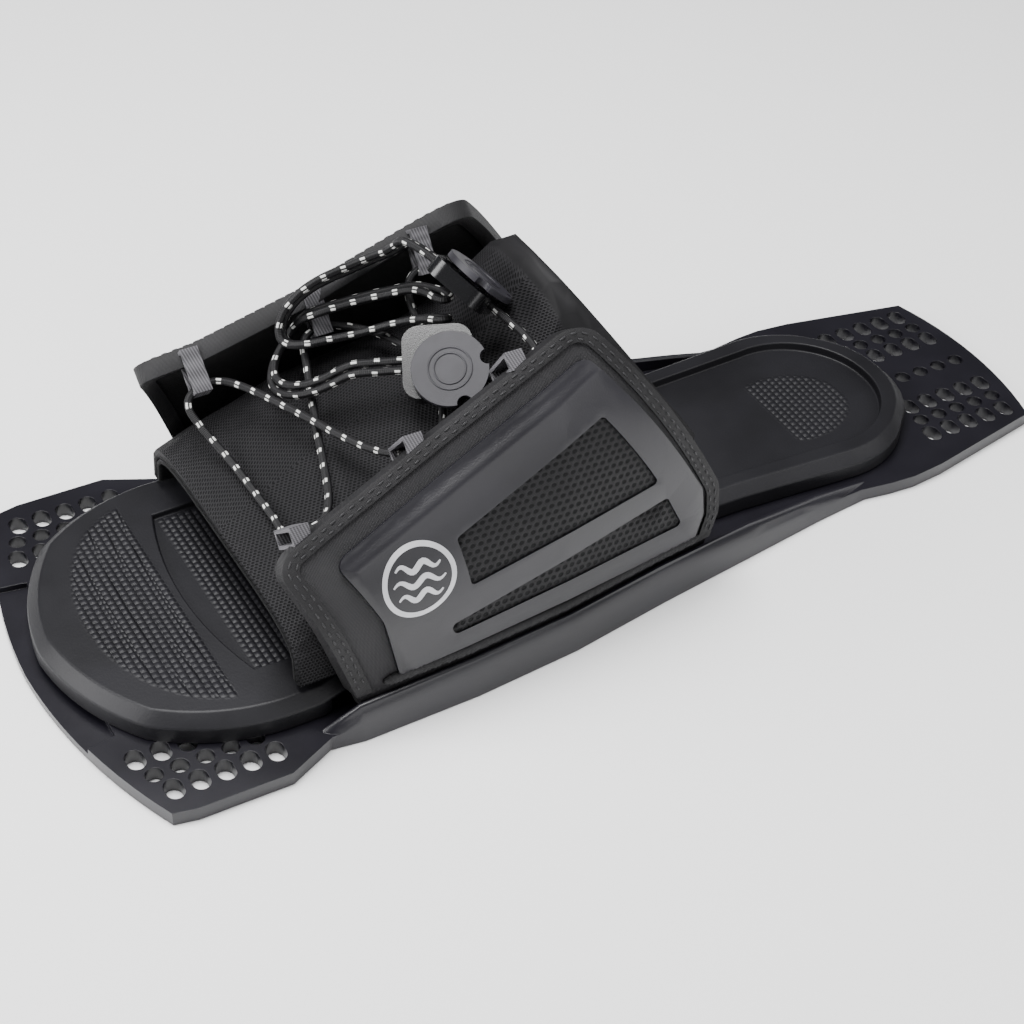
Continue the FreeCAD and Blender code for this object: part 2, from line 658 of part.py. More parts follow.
def draw_circle(sketch, diameter, x="0", y="0"):
    centre = Vector(value_of(x), value_of(y), 0)
    index = sketch.addGeometry(Part.Circle(centre, Vector(0, 0, 1), value_of(diameter) / 2))
    constrain(sketch, [], [("Diameter", (index,), diameter), *place_point((index, 3), x, y)])


def make_lock(name):
    place = lock_placement(name)
    housing = doc.addObject("PartDesign::Body", f"{name}_housing")
    outline = new_sketch(housing, "housing_outline")
    front, back, side = "dims.lock_front", "-dims.lock_back", "dims.lock_width/2"
    r = "dims.lock_corner"
    trace(outline, [
        (f"{back}+{r}", f"-{side}", None), (f"{front}-{r}", f"-{side}", r),
        (front, f"-{side}+{r}", None), (front, f"{side}-{r}", r),
        (f"{front}-{r}", side, None), (f"{back}+{r}", side, r),
        (back, f"{side}-{r}", None), (back, f"-{side}+{r}", r),
    ])
    pad(housing, outline, "dims.lock_height")
    well = new_sketch(housing, "plunger_well", height="dims.lock_height")
    draw_circle(well, "dims.plunger_diameter+2*dims.plunger_clearance")
    pocket(housing, well, "plunger_well_pocket", "dims.lock_height-dims.lock_floor")
    seat = new_sketch(housing, "spring_recess", height="dims.lock_height")
    draw_circle(seat, "dims.spring_outer+0.6")
    pocket(housing, seat, "spring_recess_pocket", "dims.lock_height-dims.spring_seat")
    for y in ("dims.cord_spacing/2", "-dims.cord_spacing/2"):
        bore(housing, "cord_bore", "dims.lock_front+1", "dims.lock_front+dims.lock_back+2", y)
    housing.Placement = place
    keep(housing, f"{name}_lock_housing")

    shift_x, shift_y = BUTTON_SHIFT[name]
    button = doc.addObject("PartDesign::Body", f"{name}_button")
    face = new_sketch(button, "button_outline", height="dims.lock_height+dims.button_gap")
    draw_circle(face, "dims.button_diameter", f"{shift_x}", f"{shift_y}")
    pad(button, face, "dims.button_height")
    notches = new_sketch(button, "button_notches", height="dims.lock_height+dims.button_gap+10")
    for angle in (165, 250):
        reach = dim("button_diameter") / 2
        x = shift_x + reach * math.cos(math.radians(angle))
        y = shift_y + reach * math.sin(math.radians(angle + 180))
        draw_circle(notches, "4.4", f"{x:.3f}", f"{y:.3f}")
    pocket(button, notches, "button_notch_pocket")
    button.Placement = place
    keep(button, f"{name}_lock_button")

    plunger = doc.addObject("PartDesign::Body", f"{name}_plunger")
    stem = new_sketch(plunger, "plunger_outline", height="dims.fork_bottom")
    draw_circle(stem, "dims.plunger_diameter")
    pad(plunger, stem, "dims.lock_height+dims.button_gap-dims.fork_bottom")
    fork = new_sketch(plunger, "fork_slot", height="dims.fork_bottom")
    reach = "dims.plunger_diameter"
    trace(fork, [(f"-{reach}", "-dims.fork_slot/2", None), (reach, "-dims.fork_slot/2", None),
                 (reach, "dims.fork_slot/2", None), (f"-{reach}", "dims.fork_slot/2", None)])
    pocket(plunger, fork, "fork_slot_pocket", "dims.fork_top-dims.fork_bottom", True)
    plunger.Placement = place
    keep(plunger, f"{name}_lock_plunger")

    outside = doc.addObject("Part::Cone", "spring_outside")
    inside = doc.addObject("Part::Cone", "spring_inside")
    rise = "dims.lock_height+dims.button_gap-dims.spring_seat-0.1"
    for cone, drop in ((outside, "0"), (inside, "dims.spring_wire")):
        cone.setExpression("Radius1", "dims.spring_outer/2")
        cone.setExpression("Radius2", "dims.spring_bore/2+0.3")
        cone.setExpression("Height", rise)
        cone.setExpression("Placement.Base.z", f"dims.spring_seat+0.05-{drop}")
    ring = doc.addObject("Part::Cut", "spring_shell")
    ring.Base, ring.Tool = outside, inside
    hole = doc.addObject("Part::Cylinder", "spring_hole")
    hole.setExpression("Radius", "dims.spring_bore/2")
    hole.Height = 20
    washer = doc.addObject("Part::Cut", f"{name}_spring")
    washer.Base, washer.Tool = ring, hole
    washer.Placement = place
    keep(washer, f"{name}_lock_spring")


for name in LOCKS:
    make_lock(name)


# ---------------------------------------------------------------- cords
def corner_radius(before, point, after):
    """As large an arc as the two runs beside a corner allow, and half the turn there."""
    into, out = point - before, after - point
    turn = into.getAngle(out)
    return 0.45 * min(into.Length, out.Length) / math.tan(turn / 2), turn


def cord_path(points):
    """Straight runs joined by tangent arcs."""
    edges, start, tightest = [], points[0], 1e9
    for before, point, after in zip(points, points[1:], points[2:]):
        radius, turn = corner_radius(before, point, after)
        tightest = min(tightest, radius)
        reach = 0.45 * min((point - before).Length, (after - point).Length)
        a = point + (before - point).normalize() * reach
        b = point + (after - point).normalize() * reach
        bisector = ((a - point) + (b - point)).normalize()
        middle = point + bisector * (math.hypot(radius, reach) - radius)
        edges.append(Part.LineSegment(start, a).toShape())
        edges.append(Part.Arc(a, middle, b).toShape())
        start = b
    edges.append(Part.LineSegment(start, points[-1]).toShape())
    return Part.Wire(edges), tightest


def cord_tube(points, diameter):
    path, _ = cord_path(points)
    ring = Part.Wire(Part.makeCircle(diameter / 2, points[0], points[1] - points[0]))
    return path.makePipeShell([ring], True, False)


def make_cord(points, label, diameter):
    path, tightest = cord_path(points)
    tube = cord_tube(points, diameter)
    expected = path.Length * math.pi * diameter ** 2 / 4
    print(f"{label}: length {path.Length:.1f}, tightest arc {tightest:.1f}, "
          f"volume ratio {tube.Volume / expected:.4f}, valid {tube.isValid()}")
    return add_shape(tube, label)


# One lace: from the far ankle eye under the lower lock to the near middle eye, up to the far toe
# eye, across the toe as a bar, back to the far middle eye, under the lower lock again to the near
# ankle eye, and into the upper lock.
LACE = [
    (-23.5, 29.5, 84.2), (-29.0, 29.5, 84.0), (-35.0, 28.8, 81.0), (-36.5, 25.0, 75.5),
    (-37.5, 12.0, 71.5), (-41.0, -2.0, 67.8), (-46.0, -15.0, 66.4), (-52.0, -26.0, 66.9),
    (-56.0, -31.0, 69.3), (-62.5, -33.0, 70.0), (-69.0, -31.0, 68.5), (-73.0, -22.0, 65.5),
    (-77.0, -9.0, 63.2), (-80.5, 3.0, 62.2), (-85.0, 17.0, 60.5), (-89.0, 30.0, 58.5),
    (-93.5, 36.5, 58.0), (-100.0, 37.6, 57.5), (-106.0, 35.5, 54.0), (-103.0, 29.0, 47.5),
    (-100.0, 17.0, 44.2), (-99.5, 0.0, 43.6), (-99.5, -17.0, 44.2), (-102.5, -29.0, 47.5),
    (-106.0, -35.5, 54.0), (-100.0, -37.6, 57.5), (-93.5, -36.0, 58.0), (-88.5, -28.0, 57.5),
    (-84.0, -15.0, 58.2), (-79.5, -1.0, 58.6), (-75.0, 12.0, 60.3), (-71.0, 24.0, 64.5),
    (-69.0, 31.5, 68.5), (-62.5, 33.0, 70.0), (-56.0, 31.0, 69.5), (-48.5, 25.0, 68.9),
    (-44.5, 14.0, 69.8), (-40.0, 0.0, 70.2), (-34.4, -12.4, 71.7), (-33.0, -22.6, 76.2),
    (-35.0, -28.5, 82.0), (-29.0, -29.5, 84.0), (-22.5, -28.5, 85.8), (-21.5, -20.0, 86.2),
]
# The two pull cords, doubled, from their locks to their loops.
LOWER_PULL = [
    (-73.0, 9.0, 67.5), (-78.8, 14.0, 63.7), (-81.5, 21.0, 61.0), (-80.5, 28.5, 59.8),
    (-77.0, 34.0, 61.5), (-72.5, 37.0, 64.5), (-69.5, 37.0, 68.5), (-68.0, 34.5, 73.4),
    (-63.5, 31.3, 76.7), (-56.3, 31.3, 76.9), (-47.6, 29.0, 78.5), (-42.0, 26.4, 80.0),
    (-36.5, 22.5, 82.5), (-33.5, 17.5, 83.5), (-32.2, 13.0, 84.0),
]
UPPER_PULL = [
    (-39.5, 29.0, 92.5), (-44.8, 33.2, 88.8), (-51.2, 34.4, 86.5), (-59.5, 34.5, 85.2),
    (-66.0, 34.5, 83.0), (-71.5, 34.5, 79.0), (-75.0, 33.7, 73.5), (-75.3, 31.0, 69.0),
    (-71.5, 26.5, 69.8), (-62.5, 24.5, 70.5), (-54.0, 21.5, 72.0), (-44.5, 17.0, 75.6),
    (-38.5, 11.0, 79.0), (-36.0, 7.0, 80.5),
]


def doubled_cord(middle, side, label):
    """A cord laid out and back along a middle line, its two strands side by side, with a loop at
    the far end. The side of the first strand is carried along the line."""
    half = dim("cord_spacing") / 2
    there, back = [], []
    for i, point in enumerate(middle):
        before, after = middle[max(i - 1, 0)], middle[min(i + 1, len(middle) - 1)]
        direction = (after - before).normalize()
        side = (side - direction * side.dot(direction)).normalize()
        spread = half * 1.5 if i == len(middle) - 1 else half
        there.append(point + side * spread)
        back.append(point - side * spread)
    tip = middle[-1] + direction * (2.2 * half)
    loop = [tip + side * half, tip - side * half]
    points = [*there, *loop, *reversed(back)]
    make_cord(points, label, dim("cord_diameter"))
    return points


level, half = dim("cord_level"), dim("cord_spacing") / 2
entry = [lock_point("upper", -17.0, half, level), lock_point("upper", -1.5, half, level)]
lace = [Vector(*p) for p in LACE] + entry
make_cord(lace, "lace", dim("cord_diameter"))


def make_pull(name, path, run):
    straight = [lock_point(name, 0.0, 0.0, level), lock_point(name, run, 0.0, level)]
    middle = straight + [Vector(*p) for p in path]
    return doubled_cord(middle, lock_frame(name)[2], f"{name}_pull_cord")


lower_pull = make_pull("lower", LOWER_PULL, 28.0)
make_pull("upper", UPPER_PULL, 24.0)


# ---------------------------------------------------------------- webbing eyes
# Middle of the cord in each eye: name, X, half spacing, Z, and how steeply the webbing rises
# from it towards the panel's edge.
EYES = [("toe", -100.0, 37.5, 57.5, 40.0), ("middle", -62.5, 32.8, 70.0, 50.0),
        ("ankle", -29.0, 29.5, 84.0, 55.0)]


def make_eye(side, name, eye, cords):
    """Webbing folded over the cord: a flat tube, open at both ends along X, sewn to the panel's
    edge and clear of the cords that pass it."""
    label, x, half_spacing, z, rise = eye
    outer = doc.addObject("Part::Box", "webbing_outside")
    outer.setExpression("Length", "dims.webbing_width")
    outer.setExpression("Width", "dims.webbing_length")
    outer.setExpression("Height", "dims.webbing_gap+2*dims.webbing_thickness")
    inner = doc.addObject("Part::Box", "webbing_inside")
    inner.setExpression("Length", "dims.webbing_width+2")
    inner.setExpression("Width", "dims.webbing_length-2*dims.webbing_thickness")
    inner.setExpression("Height", "dims.webbing_gap")
    inner.setExpression("Placement.Base.x", "-1")
    inner.setExpression("Placement.Base.y", "dims.webbing_thickness")
    inner.setExpression("Placement.Base.z", "dims.webbing_thickness")
    band = doc.addObject("Part::Cut", f"{name}_{label}_webbing")
    band.Base, band.Tool = outer, inner
    turn = Rotation(Vector(1, 0, 0), rise if side > 0 else -rise)
    if side < 0:
        turn = turn.multiply(Rotation(Vector(0, 0, 1), 180))
    middle = Vector(side * dim("webbing_width") / 2,
                    dim("webbing_thickness") + dim("webbing_gap") / 2,
                    dim("webbing_thickness") + dim("webbing_gap") / 2)
    band.Placement = Placement(Vector(x, side * half_spacing, z) - turn.multVec(middle), turn)
    doc.recompute()
    lowest = -dim("leather_thickness") - dim("lining_thickness") - dim("binding_thickness")
    highest = dim("binding_thickness") + 3 * dim("layer_gap")
    edge = dim("binding_thickness") + 2 * dim("layer_gap")
    panel = panel_layer(lowest - 5 * dim("layer_gap"), highest, side)
    panel = panel.common(side_prism(PANEL_OUTLINE, side, edge))
    sewn = band.Shape.cut(panel)
    for path in cords:
        sewn = sewn.cut(cord_tube(path, dim("cord_diameter") + dim("cord_clearance")))
    add_shape(max(sewn.Solids, key=lambda solid: solid.Volume), f"{name}_{label}_eye")


for side, name in ((-1, "near"), (1, "far")):
    for eye in EYES:
        make_eye(side, name, eye, (lace, lower_pull))




# ---------------------------------------------------------------- checks and files
doc.recompute()
for item in doc.Objects:
    if "Invalid" in item.State or "Error" in item.State:
        raise RuntimeError(f"{item.Name} did not rebuild: {item.State}")
for node in nodes:
    if node.Shape.isNull() or not node.Shape.isValid():
        raise RuntimeError(f"{node.Label} has no valid shape")
os.makedirs("parts", exist_ok=True)
for node in nodes:
    node.Shape.exportStep(f"parts/{node.Label}.step")
print(len(nodes), "sub-parts written")
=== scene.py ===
"""Laced rear foot binding: finished surfaces, cords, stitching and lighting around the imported
model. Everything is in metres; the toe points to -X, the heel to +X and the near side to -Y."""
import json
import math

import bpy
from mathutils import Matrix, Vector


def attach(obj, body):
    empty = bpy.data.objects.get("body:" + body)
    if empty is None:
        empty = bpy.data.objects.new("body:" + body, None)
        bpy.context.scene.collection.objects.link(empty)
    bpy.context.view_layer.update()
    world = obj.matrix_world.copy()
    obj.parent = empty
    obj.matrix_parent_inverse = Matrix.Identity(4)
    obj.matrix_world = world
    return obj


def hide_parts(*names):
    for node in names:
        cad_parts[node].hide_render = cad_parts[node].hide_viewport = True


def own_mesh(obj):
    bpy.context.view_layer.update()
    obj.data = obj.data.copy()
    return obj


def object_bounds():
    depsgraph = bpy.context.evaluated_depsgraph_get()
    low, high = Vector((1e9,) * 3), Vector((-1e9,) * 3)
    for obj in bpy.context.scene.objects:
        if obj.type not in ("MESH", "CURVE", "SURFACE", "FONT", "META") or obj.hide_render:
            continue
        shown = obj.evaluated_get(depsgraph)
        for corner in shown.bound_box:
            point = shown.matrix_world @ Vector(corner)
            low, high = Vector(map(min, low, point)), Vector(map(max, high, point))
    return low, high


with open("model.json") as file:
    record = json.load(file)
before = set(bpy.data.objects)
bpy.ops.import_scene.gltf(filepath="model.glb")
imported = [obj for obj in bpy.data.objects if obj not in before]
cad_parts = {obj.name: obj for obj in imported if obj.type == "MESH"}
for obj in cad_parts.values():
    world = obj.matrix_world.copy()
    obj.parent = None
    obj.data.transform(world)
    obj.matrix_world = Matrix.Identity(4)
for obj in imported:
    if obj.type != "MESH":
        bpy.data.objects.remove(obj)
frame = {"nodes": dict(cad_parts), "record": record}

MM = 0.001
CAD_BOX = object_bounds()
SLOT_OF = {part["node"]: part["material_slot"] for part in frame["record"]["subparts"]}
BODY_OF = {node: body for body, members in frame["record"]["behaviour"]["bodies"].items()
           for node in members}


# ---------------------------------------------------------------- camera and lights
def mm(*point):
    return Vector(point) * MM


def aim_matrix(place, target, roll):
    forward = (target - place).normalized()
    right = forward.cross(Vector((0, 0, 1))).normalized()
    up = right.cross(forward)
    right, up = (math.cos(roll) * right + math.sin(roll) * up,
                 -math.sin(roll) * right + math.cos(roll) * up)
    turn = Matrix((right, up, -forward)).transposed().to_4x4()
    return Matrix.Translation(place) @ turn


def add_camera():
    lens = bpy.data.cameras.new("camera")
    lens.lens, lens.sensor_width = 76.387, 36.0
    lens.clip_start, lens.clip_end = 0.01, 20
    camera = bpy.data.objects.new("camera", lens)
    bpy.context.scene.collection.objects.link(camera)
    camera.matrix_world = aim_matrix(mm(-285.395, -454.290, 445.694), mm(-13.31, -1.78, 4.6),
                                     math.radians(2.524))
    bpy.context.scene.camera = camera


def add_light(name, place, target, size, power, colour=(1, 1, 1)):
    light = bpy.data.lights.new(name, "AREA")
    light.shape = "RECTANGLE"
    light.size, light.size_y = size
    light.energy, light.color = power, colour
    lamp = bpy.data.objects.new(name, light)
    bpy.context.scene.collection.objects.link(lamp)
    lamp.matrix_world = aim_matrix(mm(*place), mm(*target), 0)


add_camera()
add_light("softbox_overhead", (-150, 90, 950), (0, 0, 0), (0.6, 0.5), 17.0)
add_light("softbox_heel", (620, -330, 620), (20, 0, 30), (0.35, 0.6), 2.4)
add_light("softbox_toe", (-760, 160, 380), (-60, 0, 30), (0.5, 0.5), 8.0)
add_light("softbox_near", (60, -800, 380), (0, 0, 40), (0.9, 0.5), 3.2)


# ---------------------------------------------------------------- shader arithmetic
class Wire:
    """An output socket, or a number, that adds its Math nodes as it is worked with."""

    def __init__(self, tree, value):
        self.tree, self.value = tree, value

    def maths(self, operation, *others):
        node = self.tree.nodes.new("ShaderNodeMath")
        node.operation = operation
        for socket, item in zip(node.inputs, (self, *others)):
            connect(self.tree, item, socket)
        return Wire(self.tree, node.outputs[0])

    def __add__(self, other): return self.maths("ADD", other)
    def __radd__(self, other): return self.maths("ADD", other)
    def __mul__(self, other): return self.maths("MULTIPLY", other)
    def __rmul__(self, other): return self.maths("MULTIPLY", other)
    def __sub__(self, other): return self.maths("SUBTRACT", other)
    def __rsub__(self, other): return Wire(self.tree, other).maths("SUBTRACT", self)
    def __truediv__(self, other): return self.maths("DIVIDE", other)

    def fraction(self): return self.maths("FRACT")
    def whole(self): return self.maths("FLOOR")
    def magnitude(self): return self.maths("ABSOLUTE")
    def root(self): return self.maths("SQRT")
    def sine(self): return self.maths("SINE")
    def over(self, other): return self.maths("MAXIMUM", other)
    def under(self, other): return self.maths("MINIMUM", other)

    def between(self, low, high):
        """0 below low, 1 above high, a smooth step between."""
        node = self.tree.nodes.new("ShaderNodeMapRange")
        node.interpolation_type = "SMOOTHSTEP"
        connect(self.tree, self, node.inputs["Value"])
        node.inputs["From Min"].default_value = low
        node.inputs["From Max"].default_value = high
        return Wire(self.tree, node.outputs["Result"])


def connect(tree, item, socket):
    if isinstance(item, Wire):
        item = item.value
    if isinstance(item, bpy.types.NodeSocket):
        tree.links.new(item, socket)
    else:
        socket.default_value = item


class Finish:
    """One procedural material."""

    def __init__(self, name):
        self.material = bpy.data.materials.new(name)
        self.material.use_nodes = True
        self.tree = self.material.node_tree
        self.shader = self.tree.nodes["Principled BSDF"]

    def node(self, kind, settings=None, **sockets):
        """A node of a type, with its settings made first and then its sockets."""
        node = self.tree.nodes.new(kind)
        for key, value in (settings or {}).items():
            setattr(node, key, value)
        for key, value in sockets.items():
            connect(self.tree, value, node.inputs[key.replace("_", " ")])
        return node

    def place(self):
        return self.node("ShaderNodeTexCoord").outputs["Object"]

    def axes(self, vector=None):
        """X, Y and Z of a place, in millimetres."""
        split = self.node("ShaderNodeSeparateXYZ", Vector=vector or self.place())
        return [Wire(self.tree, split.outputs[i]) * 1000.0 for i in range(3)]

    def strip_axes(self):
        """Along and around a cord or ribbon, from its UV map."""
        uv = self.node("ShaderNodeUVMap")
        split = self.node("ShaderNodeSeparateXYZ", Vector=uv.outputs["UV"])
        return Wire(self.tree, split.outputs[0]), Wire(self.tree, split.outputs[1])

    def noise(self, scale, detail=2.0, roughness=0.5, vector=None):
        made = self.node("ShaderNodeTexNoise", Vector=vector or self.place(), Scale=scale,
                         Detail=detail, Roughness=roughness)
        return Wire(self.tree, made.outputs["Fac"])

    def blend(self, amount, first, second):
        mix = self.node("ShaderNodeMix", {"data_type": "RGBA"})
        connect(self.tree, amount, mix.inputs["Factor"])
        for socket, item in ((mix.inputs[6], first), (mix.inputs[7], second)):
            connect(self.tree, (*item, 1.0) if isinstance(item, tuple) else item, socket)
        return mix.outputs[2]

    def bump(self, height, depth, strength=1.0, under=None):
        node = self.node("ShaderNodeBump", Height=height, Distance=depth, Strength=strength)
        if under is not None:
            connect(self.tree, under, node.inputs["Normal"])
        return node.outputs["Normal"]

    def surface(self, colour, roughness, normal=None, metallic=0.0, coat=0.0, sheen=0.0,
                coat_roughness=0.1, level=0.5):
        shader = self.shader
        connect(self.tree, (*colour, 1.0) if isinstance(colour, tuple) else colour,
                shader.inputs["Base Color"])
        connect(self.tree, roughness, shader.inputs["Roughness"])
        connect(self.tree, metallic, shader.inputs["Metallic"])
        shader.inputs["Coat Weight"].default_value = coat
        shader.inputs["Coat Roughness"].default_value = coat_roughness
        shader.inputs["Sheen Weight"].default_value = sheen
        shader.inputs["Specular IOR Level"].default_value = level
        if normal is not None:
            connect(self.tree, normal, shader.inputs["Normal"])
        return self.material


def moulded_nylon(name, colour, roughness, grain=0.00003, coat=0.0):
    f = Finish(name)
    fine, broad = f.noise(2600.0, 2.0), f.noise(38.0, 3.0)
    tint = f.blend(broad.between(0.3, 0.75), tuple(c * 0.82 for c in colour),
                   tuple(c * 1.25 for c in colour))
    return f.surface(tint, (broad - 0.5) * 0.16 + roughness + fine * 0.05,
                     f.bump(fine, grain), coat=coat)


def pressed_foam():
    """Closed-cell foam: fine scales on the toe pad, bumps in the heel, smooth rims between."""
    f = Finish("pressed_foam")
    x, y, z = f.axes()
    pores, broad = f.noise(1500.0, 3.0), f.noise(30.0, 3.0)
    # Toe pad and instep: staggered scales a little over two millimetres apart.
    row = (x / 2.3).whole()
    shift = (row * 0.5).fraction()
    across = ((y / 2.3 + shift).fraction() - 0.5).magnitude()
    down = ((x / 2.3).fraction() - 0.5).magnitude()
    scales = 1.0 - (across * across + down * down).root() * 1.7
    # The rim keeps clear of the texture.
    toe_x, toe_y = (x + 121.0) / 37.0, y / 52.0
    from_rim = (toe_x * toe_x + toe_y * toe_y).root()
    toe_zone = (1.0 - from_rim.between(0.86, 0.92)) * (1.0 - (x + 127.5).between(0.0, 1.5))
    step_zone = (x + 118.0).between(0.0, 3.0) * (1.0 - (x + 101.0).between(0.0, 5.0))
    step_zone = step_zone * (1.0 - (y.magnitude() - 36.0).between(0.0, 2.0))
    # Faint curved lines pressed across the toe pad.
    bow = (x + 127.0 - y * y * 0.0016) / 5.4
    lines = 1.0 - ((bow.fraction() - 0.5).magnitude() * 5.4).between(0.0, 0.7)
    lines = lines * toe_zone
    # Heel: a half-moon of close bumps.
    heel_x, heel_y = (x - 92.0) / 24.0, (y + 3.0) / 20.0
    heel_out = (heel_x * heel_x + heel_y * heel_y).root()
    heel_zone = (1.0 - heel_out.between(0.82, 0.9)) * (x - 84.0).between(0.0, 2.0)
    texture = scales * (toe_zone + step_zone * 0.9 + heel_zone * 0.8)
    colour = f.blend(broad.between(0.3, 0.7), (0.0050, 0.0048, 0.0062), (0.0095, 0.0092, 0.0115))
    # Painted highlight: the raised scales and heel bumps are painted lighter, as if they catch the
    # light; the same relief also drives the bump and roughness.
    colour = f.blend(texture.between(0.1, 0.9), colour, (0.0165, 0.016, 0.0195))
    colour = f.blend(lines * 0.3, colour, (0.004, 0.004, 0.005))
    normal = f.bump(texture - lines * 0.35, 0.0006)
    return f.surface(colour, (broad - 0.5) * 0.12 + 0.46 + texture * 0.1,
                     f.bump(pores, 0.00005, under=normal), level=0.3)


def side_pattern(f, slant):
    """Coordinates that lie on a side panel, in millimetres."""
    x, y, z = f.axes()
    return x, (z - y.magnitude()) * slant


def textile_leather():
    """Coated leather with a crossed fine grain."""
    f = Finish("textile_leather")
    u, v = side_pattern(f, 0.85)
    first = ((u + v) * 7.6).sine()
    second = ((u - v) * 7.6).sine()
    cross = (first * second) * 0.5 + 0.5
    broad = f.noise(45.0, 3.0)
    colour = f.blend(cross, (0.0040, 0.0038, 0.0045), (0.024, 0.0225, 0.026))
    return f.surface(f.blend(broad.between(0.35, 0.8), colour, (0.013, 0.0125, 0.0145)),
                     0.46 + cross * 0.12, f.bump(cross, 0.00022), level=0.4)


def satin_moulding():
    f = Finish("satin_moulding")
    fine, broad = f.noise(1800.0, 2.0), f.noise(26.0, 3.0)
    colour = f.blend(broad.between(0.3, 0.75), (0.0065, 0.0061, 0.0088), (0.0125, 0.0117, 0.0158))
    x, y, z = f.axes()
    from_top = (x + 100.0) * 0.375 - (z - 57.5) * 0.927
    from_toe = (x + 100.0) * 0.935 + (z - 57.5) * 0.356
    slope = (from_top.under(from_toe) / 5.0).between(0.0, 1.0)
    normal = f.bump(slope, 0.0016)
    return f.surface(colour, 0.36 + (broad - 0.5) * 0.14, f.bump(fine, 0.00004, under=normal))


def open_weave(f, u, v, wide, high, dark, light, depth):
    """A knitted mesh: rows of lens-shaped holes, every second row shifted by half."""
    row = (v / high).whole()
    shift = (row * 0.5).fraction()
    across = ((u / wide + shift).fraction() - 0.5).magnitude() * 2.0
    down = ((v / high).fraction() - 0.5).magnitude() * 2.0
    hole = 1.0 - (across * across + down * down).root().between(0.42, 0.86)
    thread = ((u + v) * 9.0).sine() * 0.5 + 0.5
    strand = (1.0 - hole) * (0.7 + thread * 0.3)
    return f.surface(f.blend(strand, dark, light), 0.55 + hole * 0.25,
                     f.bump(strand, depth), level=0.25)


def window_mesh():
    f = Finish("window_mesh")
    u, v = side_pattern(f, 0.6)
    return open_weave(f, u, v, 2.6, 1.5, (0.0015, 0.0015, 0.002),
                      (0.016, 0.0155, 0.017), 0.0008)


def gusset_mesh():
    f = Finish("gusset_mesh")
    x, y, z = f.axes()
    row = ((y.magnitude() - z) / 1.1).whole()
    across = ((x / 1.1 + (row * 0.5).fraction()).fraction() - 0.5).magnitude() * 2.0
    down = (((y.magnitude() - z) / 1.1).fraction() - 0.5).magnitude() * 2.0
    hole = 1.0 - (across * across + down * down).root().between(0.35, 0.85)
    # The collar round the ankle is smooth, with soft ribs.
    collar = (x + z * 0.25 - 11.0).between(-1.0, 2.0)
    ribs = ((x + z * 0.3) * 1.1).sine() * 0.5 + 0.5
    open_part = hole * (1.0 - collar)
    colour = f.blend(open_part, (0.0125, 0.012, 0.0135), (0.0015, 0.0015, 0.002))
    colour = f.blend(collar * (0.5 + ribs * 0.3), colour, (0.0085, 0.0082, 0.009))
    height = (1.0 - hole) * (1.0 - collar) + collar * ribs * 0.5
    return f.surface(colour, 0.62 + open_part * 0.2, f.bump(height, 0.00055), level=0.2)


def soft_lining():
    f = Finish("soft_lining")
    nap, broad = f.noise(2200.0, 3.0), f.noise(60.0, 2.0)
    colour = f.blend(broad.between(0.3, 0.7), (0.0030, 0.0030, 0.0034), (0.0070, 0.0068, 0.0075))
    return f.surface(colour, 0.86, f.bump(nap, 0.0002), sheen=0.03, level=0.15)


def ribbed_webbing(name, colour, dark, pitch, depth):
    f = Finish(name)
    x, y, z = f.axes()
    rib = ((x + (z + y) * 0.15) * (6.2832 / pitch)).sine() * 0.5 + 0.5
    pick = ((z - y.magnitude()) * (6.2832 / (pitch * 0.8))).sine() * 0.5 + 0.5
    weave = rib * 0.7 + pick * 0.3
    broad = f.noise(120.0, 3.0)
    tint = f.blend(weave, dark, colour)
    tint = f.blend((broad - 0.4) * 0.5, tint, dark)
    return f.surface(tint, 0.66 + broad * 0.15, f.bump(weave, depth), level=0.3)


def folded_binding():
    f = Finish("folded_binding")
    u, v = side_pattern(f, 0.85)
    weave = (u * 11.0).sine() * (v * 11.0).sine() * 0.5 + 0.5
    broad = f.noise(60.0, 3.0)
    colour = f.blend(broad.between(0.3, 0.75), (0.0055, 0.0052, 0.0060), (0.0115, 0.0110, 0.0125))
    return f.surface(colour, 0.58 + weave * 0.08, f.bump(weave, 0.00009), level=0.35)


def braided_cord():
    """Black braid with staggered pairs of pale dashes."""
    f = Finish("braided_cord")
    along, around = f.strip_axes()
    turns = around * 6.0
    braid = ((along / 0.55 + turns) * 3.1416).sine() * ((along / 0.55 - turns) * 3.1416).sine()
    braid = braid * 0.5 + 0.5
    fleck = Wire(f.tree, 0.0) * 1.0
    for start, lane in ((0.0, 0.0), (3.3, 0.5)):
        step = ((along - start) / 6.6).fraction() * 6.6
        on = (1.0 - (step - 1.5).between(0.0, 0.25))
        for offset in (0.0, 0.17):
            lane_gap = ((around - lane - offset - step * 0.012).fraction() - 0.5).magnitude()
            fleck = fleck.over(on * lane_gap.between(0.435, 0.462))
    base = f.blend(braid, (0.0022, 0.0022, 0.0026), (0.0125, 0.0120, 0.0135))
    colour = f.blend(fleck, base, (0.66, 0.66, 0.64))
    return f.surface(colour, 0.55, f.bump(braid, 0.00018), level=0.3)


def brushed_steel(name, colour, roughness):
    f = Finish(name)
    lines = f.noise(900.0, 2.0)
    broad = f.noise(40.0, 2.0)
    tint = f.blend(broad.between(0.3, 0.7), tuple(c * 0.85 for c in colour), colour)
    return f.surface(tint, roughness + lines * 0.12, f.bump(lines, 0.00002), metallic=1.0)


def soft_touch():
    f = Finish("soft_touch_button")
    fine, broad = f.noise(3000.0, 2.0), f.noise(150.0, 2.0)
    colour = f.blend(broad.between(0.3, 0.7), (0.012, 0.011, 0.0155), (0.018, 0.0168, 0.0225))
    return f.surface(colour, 0.46 + fine * 0.08, f.bump(fine, 0.00003))


